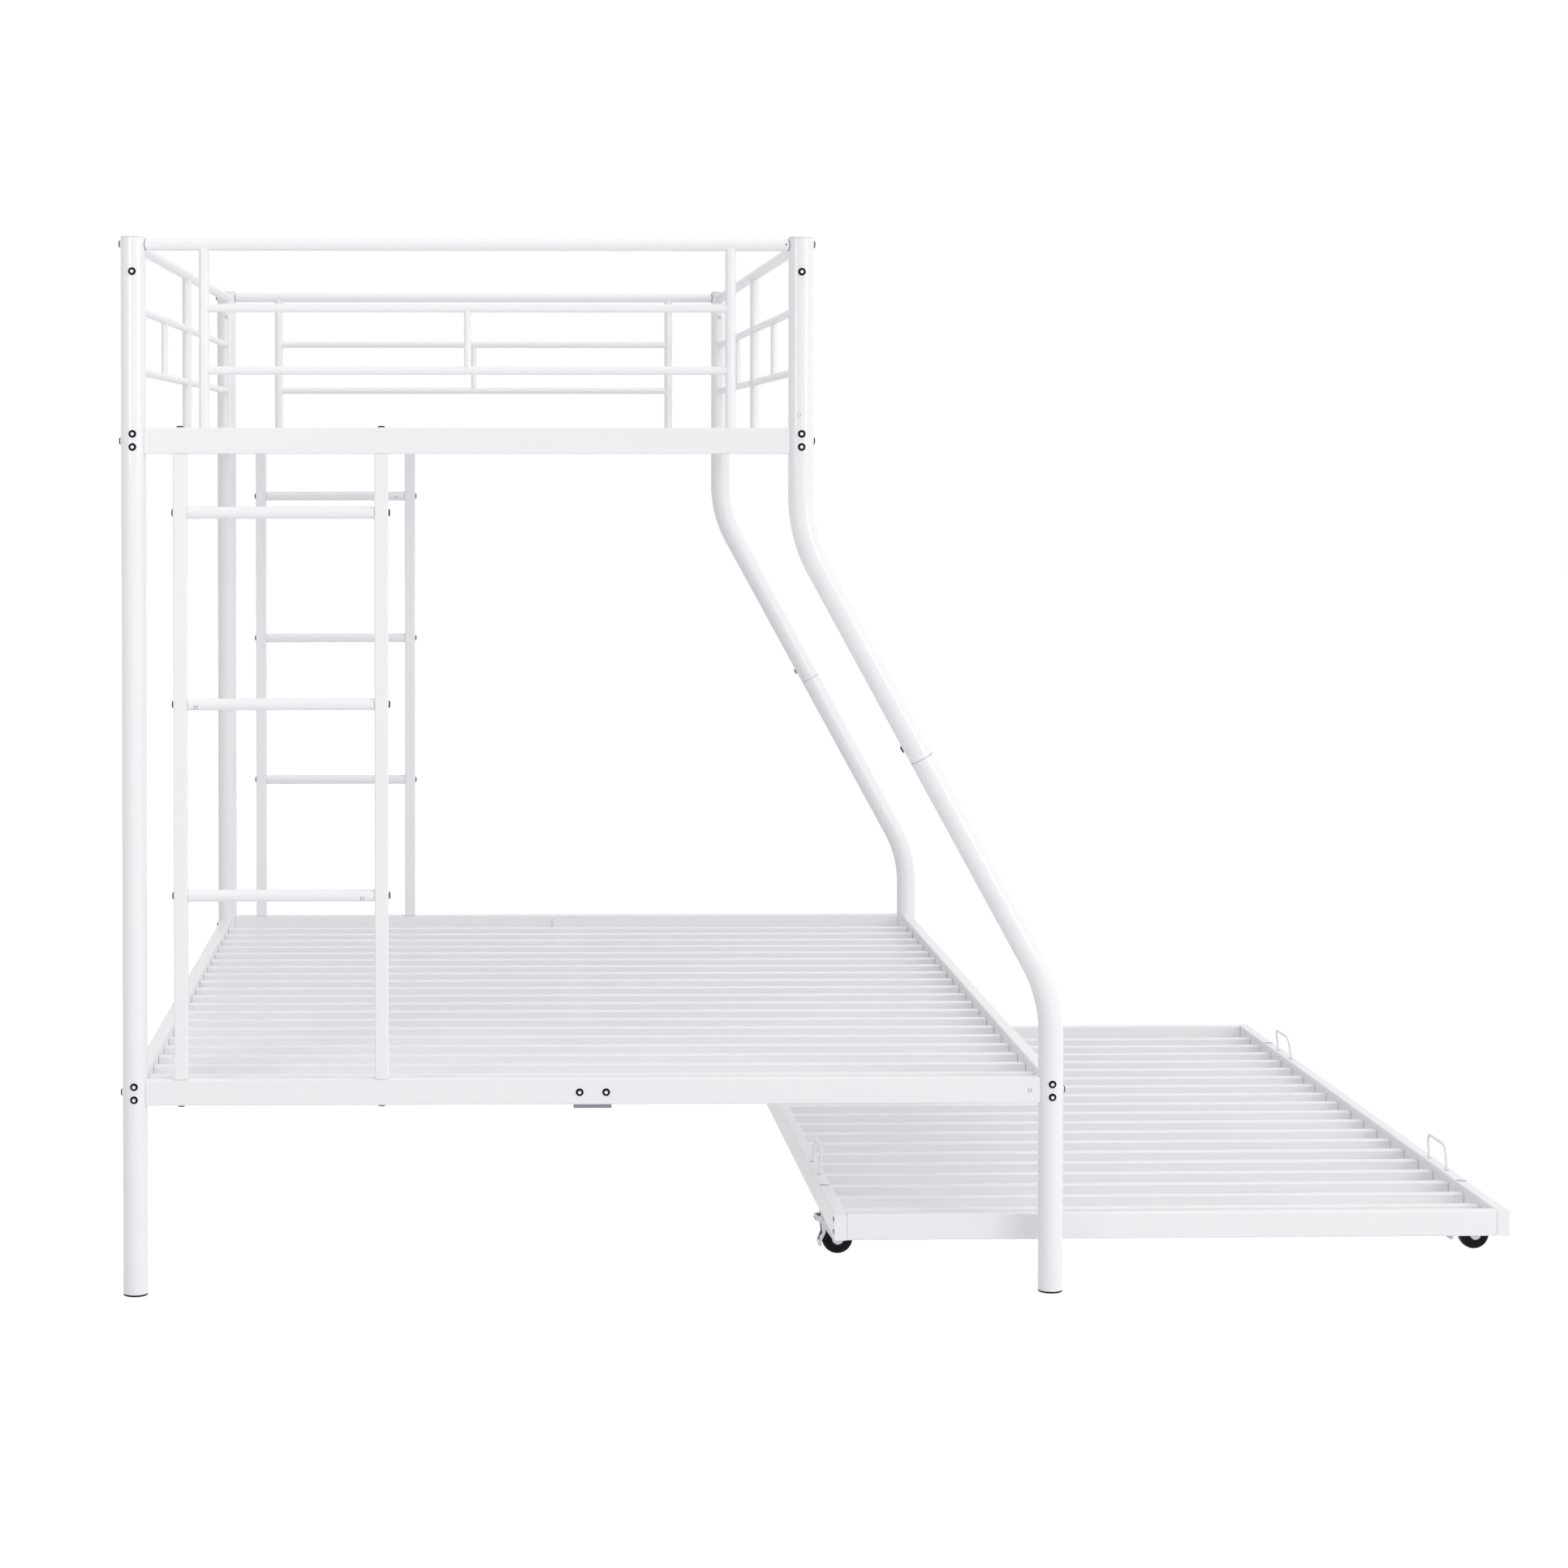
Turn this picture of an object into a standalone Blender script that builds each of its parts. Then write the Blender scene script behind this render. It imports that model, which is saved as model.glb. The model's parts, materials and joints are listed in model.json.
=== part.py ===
"""A metal bunk bed, single over double, with a low roll-out trundle bed under it.

Lengths are in metres and Z is up. X runs across the bed, from the ladder side to the side where the trundle
rolls out, and Y runs along the mattresses, from the front end to the rear end. Each piece is first placed from
the axis of the front left post, and one empty then moves the whole bed over the middle of its floor space.
"""

import math

import bmesh
import bpy
from mathutils import Matrix, Vector

# Bunk frame, between post axes
UPPER_WIDTH = 1.0222
LOWER_WIDTH = 1.4100
BED_LENGTH = 1.9430
BED_HEIGHT = 1.6260
POST_RADIUS = 0.0190
POST_WALL = 0.0015
BEND_RADIUS = 0.2280
UPPER_BEND_DROP = 0.4580
LOWER_BEND_HEIGHT = 0.4580
SEAM_SHARE = 0.517
SEAM_GAP = 0.0008
SLEEVE_LENGTH = 0.1600
SLEEVE_WALL = 0.0015

# Clearances
SEAT_GAP = 0.0003
COPE_GAP = 0.0004
CUT_OVERRUN = 0.0100

# Rails of rectangular tube
RAIL_HEIGHT = 0.0400
RAIL_WIDTH = 0.0200
RAIL_WALL = 0.0012
UPPER_RAIL_DROP = 0.3330
LOWER_RAIL_BOTTOM = 0.2930

# Slats of square tube, welded between side rails
SLAT_SIZE = 0.0200
SLAT_WALL = 0.0010
SLAT_DROP = 0.0130
BUNK_SLATS = 20
BUNK_SLAT_INSET = 0.1089

# Round tubes of the end panels and guards
TOP_TUBE_DROP = 0.0132
TOP_TUBE_RADIUS = 0.0090
TALL_TUBE_RADIUS = 0.0080
THIN_TUBE_RADIUS = 0.00635
SHORT_TUBE_RADIUS = 0.00525
TUBE_WALL = 0.0010
THIN_TUBE_DROPS = (0.2053, 0.1100)
PANEL_UPRIGHT_INSET = 0.1080
GUARD_SHORT_INSET = 0.5280

# Ladders
STILE_SIZE = 0.0210
STILE_WALL = 0.0012
STILE_PLACES = (0.0710, 0.3788)
RUNG_RADIUS = 0.00925
RUNG_WALL = 0.0012
LOWEST_RUNG_RISE = 0.2820
TOP_RUNG_DROP = 0.0900
RUNG_COUNT = 3

# Centre bar under the lower slats, and the folded brackets that carry it
CENTRE_BAR_WIDTH = 0.0250
CENTRE_BAR_WALL = 0.0012
BRACKET_PLACE = 0.7032
BRACKET_WIDTH = 0.0590
BRACKET_SHEET = 0.0020
BRACKET_DROP = 0.0070
BRACKET_REACH = 0.0320
BRACKET_LIP = 0.0080
BRACKET_MARGIN = 0.0060

# Feet, post caps and bolt heads
FOOT_RIM = 0.0028
FOOT_PLUG = 0.0220
CAP_RIM = 0.0024
CAP_CHAMFER = 0.0012
CAP_PLUG = 0.0090
PLUG_WALL = 0.0020
HEAD_RADIUS = 0.0060
HEAD_HEIGHT = 0.0030
HEAD_SINK = 0.0014
END_BOLT_DROPS = (0.0093, 0.0293)
SIDE_BOLT_DROP = 0.0200
TOP_BOLT_DROP = 0.0120
GUARD_BOLT_DROP = 0.0545
JOINT_BOLT_RISE = 0.0260

# Trundle bed, where it stands pulled out
TRUNDLE_WIDTH = 1.0590
TRUNDLE_LENGTH = 1.8227
TRUNDLE_RAIL_BOTTOM = 0.0708
TRUNDLE_PLACE = (1.0799, 0.0382)
TRUNDLE_SKEW = math.radians(0.86)
TRUNDLE_SLATS = 19
TRUNDLE_SLAT_INSET = 0.10225
TRUNDLE_SLAT_DROP = 0.0118

# Mattress loops of round wire on the trundle rails
WIRE_RADIUS = 0.0025
LOOP_LENGTH = 0.1050
LOOP_HEIGHT = 0.0430
LOOP_CORNER = 0.0150
LOOP_INSET = 0.3695
LOOP_SINK = 0.0080
LEG_CLEARANCE = 0.0006
LOOP_LEANS = {
    "front_left": math.radians(6.0),
    "rear_left": math.radians(6.0),
    "front_right": math.radians(-3.5),
    "rear_right": math.radians(-8.0),
}

# Castors
CASTOR_INSET = 0.2320
CASTOR_TRAIL = 0.0200
WHEEL_RADIUS = 0.0250
WHEEL_WIDTH = 0.0180
WHEEL_CHAMFER = 0.0025
AXLE_RADIUS = 0.0030
AXLE_HEAD_RADIUS = 0.0045
AXLE_HEAD = 0.0014
RUNNING_GAP = 0.0001
CHEEK_GAP = 0.0006
CHEEK_SHEET = 0.0018
EAR_RADIUS = 0.0095
CROWN_BACK = 0.0080
CROWN_FRONT = 0.0320
CROWN_HEIGHT = 0.0030
CHEEK_BACK_DROP = 0.0150
RACE_RADIUS = 0.0100
RACE_HEIGHT = 0.0040
STEM_RADIUS = 0.0040
STEM_LENGTH = 0.0330
SOCKET_RADIUS = 0.0056
SOCKET_HEAD_RADIUS = 0.0075
SOCKET_HEAD = 0.0015
SOCKET_BORE_END = 0.0030

# Brake lever: a yoke outside the cheeks, its pedal above the wheel's back and its tail below
PIVOT_BACK = 0.0035
PIVOT_HEIGHT = 0.0545
PIVOT_RADIUS = 0.0015
PIVOT_HEAD_RADIUS = 0.0028
YOKE_GAP = 0.0004
YOKE_SHEET = 0.0015
YOKE_OUTLINE = (
    (0.0040, 0.0020),
    (0.0030, -0.0200),
    (-0.0030, -0.0325),
    (-0.0030, -0.0405),
    (-0.0075, -0.0405),
    (-0.0075, -0.0325),
    (-0.0020, -0.0200),
    (-0.0040, -0.0035),
    (-0.0125, 0.0020),
    (-0.0125, 0.0080),
    (-0.0070, 0.0085),
    (0.0020, 0.0040),
)
PEDAL_OUTLINE = (
    (-0.0085, -0.0020),
    (-0.0085, 0.0060),
    (-0.0105, 0.0088),
    (-0.0140, 0.0060),
    (-0.0125, 0.0005),
)
TAIL_OUTLINE = (
    (-0.0032, -0.0330),
    (-0.0032, -0.0400),
    (-0.0084, -0.0405),
    (-0.0060, -0.0330),
)
LEVER_RESTS = {
    "front_left": 0.0,
    "rear_left": 0.0,
    "front_right": math.radians(18.0),
    "rear_right": math.radians(18.0),
}
CASTOR_TURNS = {
    "front_left": math.radians(1.1),
    "rear_left": math.radians(4.0),
    "front_right": math.radians(5.1),
    "rear_right": math.radians(4.0),
}

# Facets
POST_SIDES = 24
TUBE_SIDES = 16
THIN_SIDES = 12
WIRE_SIDES = 8
HEAD_SIDES = 12
WHEEL_SIDES = 32
BEND_STEPS = 8
CORNER_STEPS = 4
EAR_STEPS = 8
SMOOTH_ANGLE = math.radians(35.0)

# Places worked out from the sizes above
POST_BORE = POST_RADIUS - POST_WALL
POST_BOTTOM = FOOT_RIM + SEAT_GAP
POST_TOP = BED_HEIGHT - CAP_RIM - SEAT_GAP
TOP_TUBE_HEIGHT = BED_HEIGHT - TOP_TUBE_DROP
UPPER_RAIL_BOTTOM = BED_HEIGHT - UPPER_RAIL_DROP
UPPER_RAIL_TOP = UPPER_RAIL_BOTTOM + RAIL_HEIGHT
LOWER_RAIL_TOP = LOWER_RAIL_BOTTOM + RAIL_HEIGHT
TRUNDLE_RAIL_TOP = TRUNDLE_RAIL_BOTTOM + RAIL_HEIGHT
LOW_THIN_HEIGHT, HIGH_THIN_HEIGHT = (BED_HEIGHT - drop for drop in THIN_TUBE_DROPS)
LOWEST_RUNG = LOWER_RAIL_TOP + LOWEST_RUNG_RISE
RUNG_PITCH = (UPPER_RAIL_BOTTOM - TOP_RUNG_DROP - LOWEST_RUNG) / (RUNG_COUNT - 1)
UPPER_BEND_HEIGHT = BED_HEIGHT - UPPER_BEND_DROP
BEND_RISE = UPPER_BEND_HEIGHT - LOWER_BEND_HEIGHT
BEND_RUN = LOWER_WIDTH - UPPER_WIDTH
LEAN = math.atan2(BEND_RUN, BEND_RISE)
CHEEK_INSIDE = WHEEL_WIDTH / 2 + CHEEK_GAP
CHEEK_OUTSIDE = CHEEK_INSIDE + CHEEK_SHEET
RACE_TOP = TRUNDLE_RAIL_BOTTOM - SEAT_GAP
RACE_BOTTOM = RACE_TOP - RACE_HEIGHT
ENDS = {"front": 0.0, "rear": BED_LENGTH}
OUTWARD = {"front": -1.0, "rear": 1.0}
CORNERS = ("front_left", "rear_left", "front_right", "rear_right")


def floor_middle():
    """The middle of the whole bed's width, from the bolt heads on the left to the castor on the right."""
    turn = TRUNDLE_SKEW + CASTOR_TURNS["front_right"]
    stem = Matrix.Rotation(TRUNDLE_SKEW, 2) @ Vector((TRUNDLE_WIDTH - RAIL_WIDTH / 2, CASTOR_INSET))
    wheel_reach = (CASTOR_TRAIL + WHEEL_RADIUS) * math.cos(turn)
    wheel_side = (WHEEL_WIDTH / 2 - WHEEL_CHAMFER) * math.sin(turn)
    right = TRUNDLE_PLACE[0] + stem.x + wheel_reach + wheel_side
    left = -POST_RADIUS - HEAD_HEIGHT
    return (left + right) / 2


# Materials


def finish(name, colour, roughness, metallic):
    """A plain Principled material in one colour."""
    coat = bpy.data.materials.new(name)
    coat.use_nodes = True
    shader = coat.node_tree.nodes["Principled BSDF"]
    shader.inputs["Base Color"].default_value = (*colour, 1.0)
    shader.inputs["Roughness"].default_value = roughness
    shader.inputs["Metallic"].default_value = metallic
    return coat


# Shapes: each returns a function that adds one closed shape to a bmesh


def rod(start, end, radius, sides=TUBE_SIDES):
    """A solid round bar between two points."""
    start, end = Vector(start), Vector(end)

    def add(mesh):
        along = end - start
        turn = along.to_track_quat("Z", "Y").to_matrix().to_4x4()
        middle = Matrix.Translation((start + end) / 2)
        bmesh.ops.create_cone(
            mesh,
            cap_ends=True,
            segments=sides,
            radius1=radius,
            radius2=radius,
            depth=along.length,
            matrix=middle @ turn,
        )

    return add


def block(low, high):
    """A rectangular block between its lowest and highest corners."""
    low, high = Vector(low), Vector(high)

    def add(mesh):
        size = Matrix.Diagonal((*(high - low), 1.0))
        bmesh.ops.create_cube(mesh, size=1.0, matrix=Matrix.Translation((low + high) / 2) @ size)

    return add


def skin(mesh, rings, closed):
    """Joins rings of vertices by quads, and either closes the row of rings on itself or caps its two ends."""
    count = len(rings[0])
    pairs = list(zip(rings, rings[1:]))
    if closed:
        pairs.append((rings[-1], rings[0]))
    else:
        mesh.faces.new(reversed(rings[0]))
        mesh.faces.new(rings[-1])
    for first, second in pairs:
        for i in range(count):
            j = (i + 1) % count
            mesh.faces.new((first[i], first[j], second[j], second[i]))


def turned(profile, sides, closed=False, place=(0.0, 0.0, 0.0), axis="Z"):
    """A profile of (radius, height) points turned about an axis through the place given."""
    turn = {"Z": Matrix.Identity(4), "Y": Matrix.Rotation(-math.pi / 2, 4, "X")}[axis]
    stand = Matrix.Translation(place) @ turn

    def add(mesh):
        rings = []
        for radius, height in profile:
            ring = []
            for i in range(sides):
                angle = 2 * math.pi * i / sides
                point = Vector((radius * math.cos(angle), radius * math.sin(angle), height))
                ring.append(mesh.verts.new(stand @ point))
            rings.append(ring)
        skin(mesh, rings, closed)

    return add


def prism(outline, low, high):
    """An outline of (x, z) points drawn out along Y."""

    def add(mesh):
        rings = [[mesh.verts.new((x, y, z)) for x, z in outline] for y in (low, high)]
        skin(mesh, rings, closed=False)

    return add


def rings_along(mesh, path, normal, radius, sides):
    """Rings of vertices square to a flat path."""
    rings = []
    for i, point in enumerate(path):
        before = path[max(i - 1, 0)]
        after = path[min(i + 1, len(path) - 1)]
        across = (after - before).normalized().cross(normal)
        ring = []
        for k in range(sides):
            angle = 2 * math.pi * k / sides
            ring.append(mesh.verts.new(point + radius * (math.cos(angle) * across + math.sin(angle) * normal)))
        rings.append(ring)
    return rings


def bent_tube(path, normal, radius, bore, sides):
    """A tube with open ends along a flat path."""

    def add(mesh):
        outside = rings_along(mesh, path, normal, radius, sides)
        inside = rings_along(mesh, path, normal, bore, sides)
        skin(mesh, outside + inside[::-1], closed=True)

    return add


def bent_wire(path, normal, radius, sides):
    """A solid wire along a flat path."""

    def add(mesh):
        skin(mesh, rings_along(mesh, path, normal, radius, sides), closed=False)

    return add


def rounded_path(corners, radius, steps):
    """A path through its corner points, with an arc of the radius given at each inner corner."""
    path = [corners[0]]
    for before, corner, after in zip(corners, corners[1:], corners[2:]):
        into = (corner - before).normalized()
        out = (after - corner).normalized()
        turn = into.angle(out)
        tangent = radius * math.tan(turn / 2)
        centre = corner + (out - into).normalized() * radius / math.cos(turn / 2)
        start = corner - into * tangent - centre
        axis = into.cross(out).normalized()
        for k in range(steps + 1):
            path.append(centre + Matrix.Rotation(turn * k / steps, 3, axis) @ start)
    path.append(corners[-1])
    return path


# Objects


def mesh_of(name, shapes):
    """One mesh that holds every shape, its faces pointing out."""
    body = bmesh.new()
    for shape in shapes:
        shape(body)
    bmesh.ops.recalc_face_normals(body, faces=body.faces)
    mesh = bpy.data.meshes.new(name)
    body.to_mesh(mesh)
    body.free()
    mesh.shade_smooth()
    mesh.set_sharp_from_angle(angle=SMOOTH_ANGLE)
    return mesh


def empty(name, parent, place=(0.0, 0.0, 0.0), turn=0.0):
    """An empty that places what is parented to it."""
    stand = bpy.data.objects.new(name, None)
    bpy.context.collection.objects.link(stand)
    stand.parent = parent
    stand.location = place
    stand.rotation_euler = (0.0, 0.0, turn)
    return stand


def guide(name, shapes, parent):
    """A wire-frame helper that unites with a piece or is cut from it."""
    helper = bpy.data.objects.new(name, mesh_of(name, shapes))
    bpy.context.collection.objects.link(helper)
    helper.parent = parent
    helper.hide_render = True
    helper.display_type = "WIRE"
    return helper


def piece(name, coat, shapes, parent, joined=(), cut=()):
    """One named solid: its own shapes, then each joined group united to it, then each cut group taken out."""
    item = bpy.data.objects.new(name, mesh_of(name, shapes))
    bpy.context.collection.objects.link(item)
    item.parent = parent
    item.data.materials.append(coat)
    steps = [("UNION", group) for group in joined] + [("DIFFERENCE", group) for group in cut]
    for number, (operation, group) in enumerate(steps):
        if isinstance(group, list):
            group = guide(f"{name}_step_{number}", group, parent)
        step = item.modifiers.new(f"{operation.lower()}_{number}", "BOOLEAN")
        step.operation = operation
        step.solver = "EXACT"
        step.object = group
    return item


# Bunk posts


def bolt_head(surface, outward):
    """A bolt head that stands on a round post, its foot sunk in the tube's wall."""
    surface, outward = Vector(surface), Vector(outward).normalized()
    return rod(surface - outward * HEAD_SINK, surface + outward * HEAD_HEIGHT, HEAD_RADIUS, HEAD_SIDES)


def face_heads(x, y, outward, heights):
    """Bolt heads on a post's outer face."""
    return [
        bolt_head((x + outward[0] * POST_RADIUS, y + outward[1] * POST_RADIUS, z), (*outward, 0.0))
        for z in heights
    ]


def upper_heights():
    """Heights of the bolts on a post's end face and side face, beside the upper bunk."""
    ends = [UPPER_RAIL_TOP - drop for drop in END_BOLT_DROPS] + [BED_HEIGHT - GUARD_BOLT_DROP]
    sides = [UPPER_RAIL_TOP - SIDE_BOLT_DROP, BED_HEIGHT - TOP_BOLT_DROP]
    return ends, sides


def lower_heights():
    """Heights of the bolts on a post's end face and side face, beside the lower bunk."""
    ends = [LOWER_RAIL_TOP - drop for drop in END_BOLT_DROPS]
    return ends, [LOWER_RAIL_TOP - SIDE_BOLT_DROP]


def left_post(end, coat, frame):
    """A straight post of the full height, with its bolt heads."""
    y = ENDS[end]
    outward = (0.0, OUTWARD[end])
    tube = bent_tube(
        [Vector((0.0, y, POST_BOTTOM)), Vector((0.0, y, POST_TOP))],
        Vector((0.0, 1.0, 0.0)),
        POST_RADIUS,
        POST_BORE,
        POST_SIDES,
    )
    upper_ends, upper_sides = upper_heights()
    lower_ends, lower_sides = lower_heights()
    heads = face_heads(0.0, y, outward, upper_ends + lower_ends)
    heads += face_heads(0.0, y, (-1.0, 0.0), upper_sides + lower_sides)
    piece(f"post_{end}_left", coat, [tube], frame, joined=[heads])


def right_posts(end, coat, steel, frame):
    """The cranked right post: a lower and an upper tube that meet on an inner sleeve."""
    y = ENDS[end]
    outward = (0.0, OUTWARD[end])
    across = Vector((0.0, 1.0, 0.0))
    lower_bend = Vector((LOWER_WIDTH, y, LOWER_BEND_HEIGHT))
    upper_bend = Vector((UPPER_WIDTH, y, UPPER_BEND_HEIGHT))
    seam = lower_bend.lerp(upper_bend, SEAM_SHARE)
    along = (upper_bend - lower_bend).normalized()
    foot = Vector((LOWER_WIDTH, y, POST_BOTTOM))
    top = Vector((UPPER_WIDTH, y, POST_TOP))
    lower_path = rounded_path([foot, lower_bend, seam - along * SEAM_GAP / 2], BEND_RADIUS, BEND_STEPS)
    upper_path = rounded_path([seam + along * SEAM_GAP / 2, upper_bend, top], BEND_RADIUS, BEND_STEPS)
    sleeve_path = [seam - along * SLEEVE_LENGTH / 2, seam + along * SLEEVE_LENGTH / 2]
    sleeve_radius = POST_BORE - SEAT_GAP

    lower_ends, lower_sides = lower_heights()
    heads = face_heads(LOWER_WIDTH, y, outward, lower_ends)
    heads += face_heads(LOWER_WIDTH, y, (1.0, 0.0), lower_sides)
    lower_tube = bent_tube(lower_path, across, POST_RADIUS, POST_BORE, POST_SIDES)
    piece(f"lower_post_{end}_right", coat, [lower_tube], frame, joined=[heads])

    upper_ends, upper_sides = upper_heights()
    heads = face_heads(UPPER_WIDTH, y, outward, upper_ends)
    heads += face_heads(UPPER_WIDTH, y, (1.0, 0.0), upper_sides)
    inward = Vector((-math.cos(LEAN), 0.0, -math.sin(LEAN)))
    heads.append(bolt_head(seam + along * JOINT_BOLT_RISE + inward * POST_RADIUS, inward))
    upper_tube = bent_tube(upper_path, across, POST_RADIUS, POST_BORE, POST_SIDES)
    piece(f"upper_post_{end}_right", coat, [upper_tube], frame, joined=[heads])

    sleeve = bent_tube(sleeve_path, across, sleeve_radius, sleeve_radius - SLEEVE_WALL, POST_SIDES)
    piece(f"post_joint_sleeve_{end}", steel, [sleeve], frame)


def foot(name, x, y, rubber, frame):
    """A foot: a thin rim under the tube and a hollow plug up its bore."""
    plug = POST_BORE - SEAT_GAP
    profile = [
        (POST_RADIUS, 0.0),
        (POST_RADIUS, FOOT_RIM),
        (plug, FOOT_RIM),
        (plug, FOOT_RIM + FOOT_PLUG),
        (plug - PLUG_WALL, FOOT_RIM + FOOT_PLUG),
        (plug - PLUG_WALL, FOOT_RIM),
    ]
    piece(name, rubber, [turned(profile, POST_SIDES, place=(x, y, 0.0))], frame)


def post_cap(name, x, y, plastic, frame):
    """A cap: a chamfered rim on the tube's top and a hollow plug down its bore."""
    plug = POST_BORE - SEAT_GAP
    rim = BED_HEIGHT - CAP_RIM
    profile = [
        (plug - PLUG_WALL, rim),
        (plug - PLUG_WALL, rim - CAP_PLUG),
        (plug, rim - CAP_PLUG),
        (plug, rim),
        (POST_RADIUS, rim),
        (POST_RADIUS, BED_HEIGHT - CAP_CHAMFER),
        (POST_RADIUS - CAP_CHAMFER, BED_HEIGHT),
    ]
    piece(name, plastic, [turned(profile, POST_SIDES, place=(x, y, 0.0))], frame)


# Bunk rails, panels and guards


def post_clearance(name, width, frame):
    """Upright cutters on four post axes, which cope the tubes that meet the posts."""
    radius = POST_RADIUS + COPE_GAP
    cutters = [
        rod((x, y, -CUT_OVERRUN), (x, y, BED_HEIGHT + CUT_OVERRUN), radius, POST_SIDES)
        for x in (0.0, width)
        for y in ENDS.values()
    ]
    return guide(name, cutters, frame)


def rail_bore(low, high, wall, along, end_wall=-CUT_OVERRUN):
    """The inside of a rectangular tube, run past its two ends unless these have a wall of their own."""
    inset = Vector((wall, wall, wall))
    inset[along] = end_wall
    return block(Vector(low) + inset, Vector(high) - inset)


def slat_places(count, inset, length):
    """Middles of evenly spaced slats, the first and last at the same inset from the ends."""
    pitch = (length - 2 * inset) / (count - 1)
    return [inset + i * pitch for i in range(count)]


def slatted_deck(name, coat, parent, sides, length, bottom, drop, places, cut, end_wall=-CUT_OVERRUN):
    """Two side rails with square slats welded between them, all hollow, with one inside in common."""
    half = RAIL_WIDTH / 2
    top = bottom + RAIL_HEIGHT - drop
    corners = [((x - half, 0.0, bottom), (x + half, length, bottom + RAIL_HEIGHT)) for x in sides]
    rails = [block(low, high) for low, high in corners]
    rail_bores = [rail_bore(low, high, RAIL_WALL, 1, end_wall) for low, high in corners]
    left, right = sides[0] + half, sides[1] - half
    weld, bore_end = RAIL_WALL / 2, RAIL_WALL * 2
    slats, slat_bores = [], []
    for y in places:
        low = Vector((left - weld, y - SLAT_SIZE / 2, top - SLAT_SIZE))
        high = Vector((right + weld, y + SLAT_SIZE / 2, top))
        slats.append(block(low, high))
        inset = Vector((weld - bore_end, SLAT_WALL, SLAT_WALL))
        slat_bores.append(block(low + inset, high - inset))
    return piece(name, coat, rails, parent, joined=[slats], cut=[*cut, rail_bores, slat_bores])


def end_panel(end, coat, frame, clearance):
    """A welded end panel of the upper bunk: top tube, three uprights, two thin rails and the end rail."""
    y = ENDS[end]
    half = RAIL_WIDTH / 2
    uprights = (PANEL_UPRIGHT_INSET, UPPER_WIDTH - PANEL_UPRIGHT_INSET)
    middle = UPPER_WIDTH / 2
    tall_foot = UPPER_RAIL_TOP - RAIL_WALL
    low, high = (0.0, y - half, UPPER_RAIL_BOTTOM), (UPPER_WIDTH, y + half, UPPER_RAIL_TOP)

    def members(shrink, overrun):
        """The tubes with their walls' thickness taken off, in groups whose members don't touch."""
        left_end, right_end = (-overrun, y, TOP_TUBE_HEIGHT), (UPPER_WIDTH + overrun, y, TOP_TUBE_HEIGHT)
        level = [rod(left_end, right_end, TOP_TUBE_RADIUS - shrink)]
        tall_start = tall_foot - overrun / 2
        tall = [
            rod((x, y, tall_start), (x, y, TOP_TUBE_HEIGHT), TALL_TUBE_RADIUS - shrink, THIN_SIDES)
            for x in uprights
        ]
        thin = [
            rod((uprights[0], y, z), (uprights[1], y, z), THIN_TUBE_RADIUS - shrink, THIN_SIDES)
            for z in (LOW_THIN_HEIGHT, HIGH_THIN_HEIGHT)
        ]
        short_low, short_high = (middle, y, LOW_THIN_HEIGHT), (middle, y, HIGH_THIN_HEIGHT)
        short = [rod(short_low, short_high, SHORT_TUBE_RADIUS - shrink, WIRE_SIDES)]
        return level, tall, thin, short

    solids = members(0.0, 0.0)
    bores = members(TUBE_WALL, CUT_OVERRUN)
    piece(
        f"upper_end_panel_{end}",
        coat,
        [block(low, high)],
        frame,
        joined=list(solids),
        cut=[clearance, [rail_bore(low, high, RAIL_WALL, 0)], *bores],
    )


def guard(side, x, coat, frame, clearance):
    """A welded side guard of the upper bunk, its tall upright standing on the side rail."""
    middle = BED_LENGTH / 2

    def members(shrink, overrun):
        """The tubes with their walls' thickness taken off, in groups whose members don't touch."""
        level = [
            rod((x, -overrun, z), (x, BED_LENGTH + overrun, z), radius - shrink, sides)
            for z, radius, sides in (
                (TOP_TUBE_HEIGHT, TOP_TUBE_RADIUS, TUBE_SIDES),
                (HIGH_THIN_HEIGHT, THIN_TUBE_RADIUS, THIN_SIDES),
                (LOW_THIN_HEIGHT, THIN_TUBE_RADIUS, THIN_SIDES),
            )
        ]
        tall_low = (x, middle, UPPER_RAIL_TOP + SEAT_GAP - overrun)
        tall = [rod(tall_low, (x, middle, TOP_TUBE_HEIGHT), TALL_TUBE_RADIUS - shrink, THIN_SIDES)]
        short = [
            rod((x, y, LOW_THIN_HEIGHT), (x, y, HIGH_THIN_HEIGHT), SHORT_TUBE_RADIUS - shrink, WIRE_SIDES)
            for y in (GUARD_SHORT_INSET, BED_LENGTH - GUARD_SHORT_INSET)
        ]
        return level, tall + short

    level, upright = members(0.0, 0.0)
    bores = members(TUBE_WALL, CUT_OVERRUN)
    piece(f"upper_guard_{side}", coat, level, frame, joined=[upright], cut=[clearance, *bores])


def lower_end_rail(end, coat, frame, clearance):
    """A rail between the lower posts, coped to them."""
    y = ENDS[end]
    half = RAIL_WIDTH / 2
    low, high = (0.0, y - half, LOWER_RAIL_BOTTOM), (LOWER_WIDTH, y + half, LOWER_RAIL_TOP)
    bore = rail_bore(low, high, RAIL_WALL, 0)
    piece(f"lower_end_rail_{end}", coat, [block(low, high)], frame, cut=[clearance, [bore]])


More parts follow.
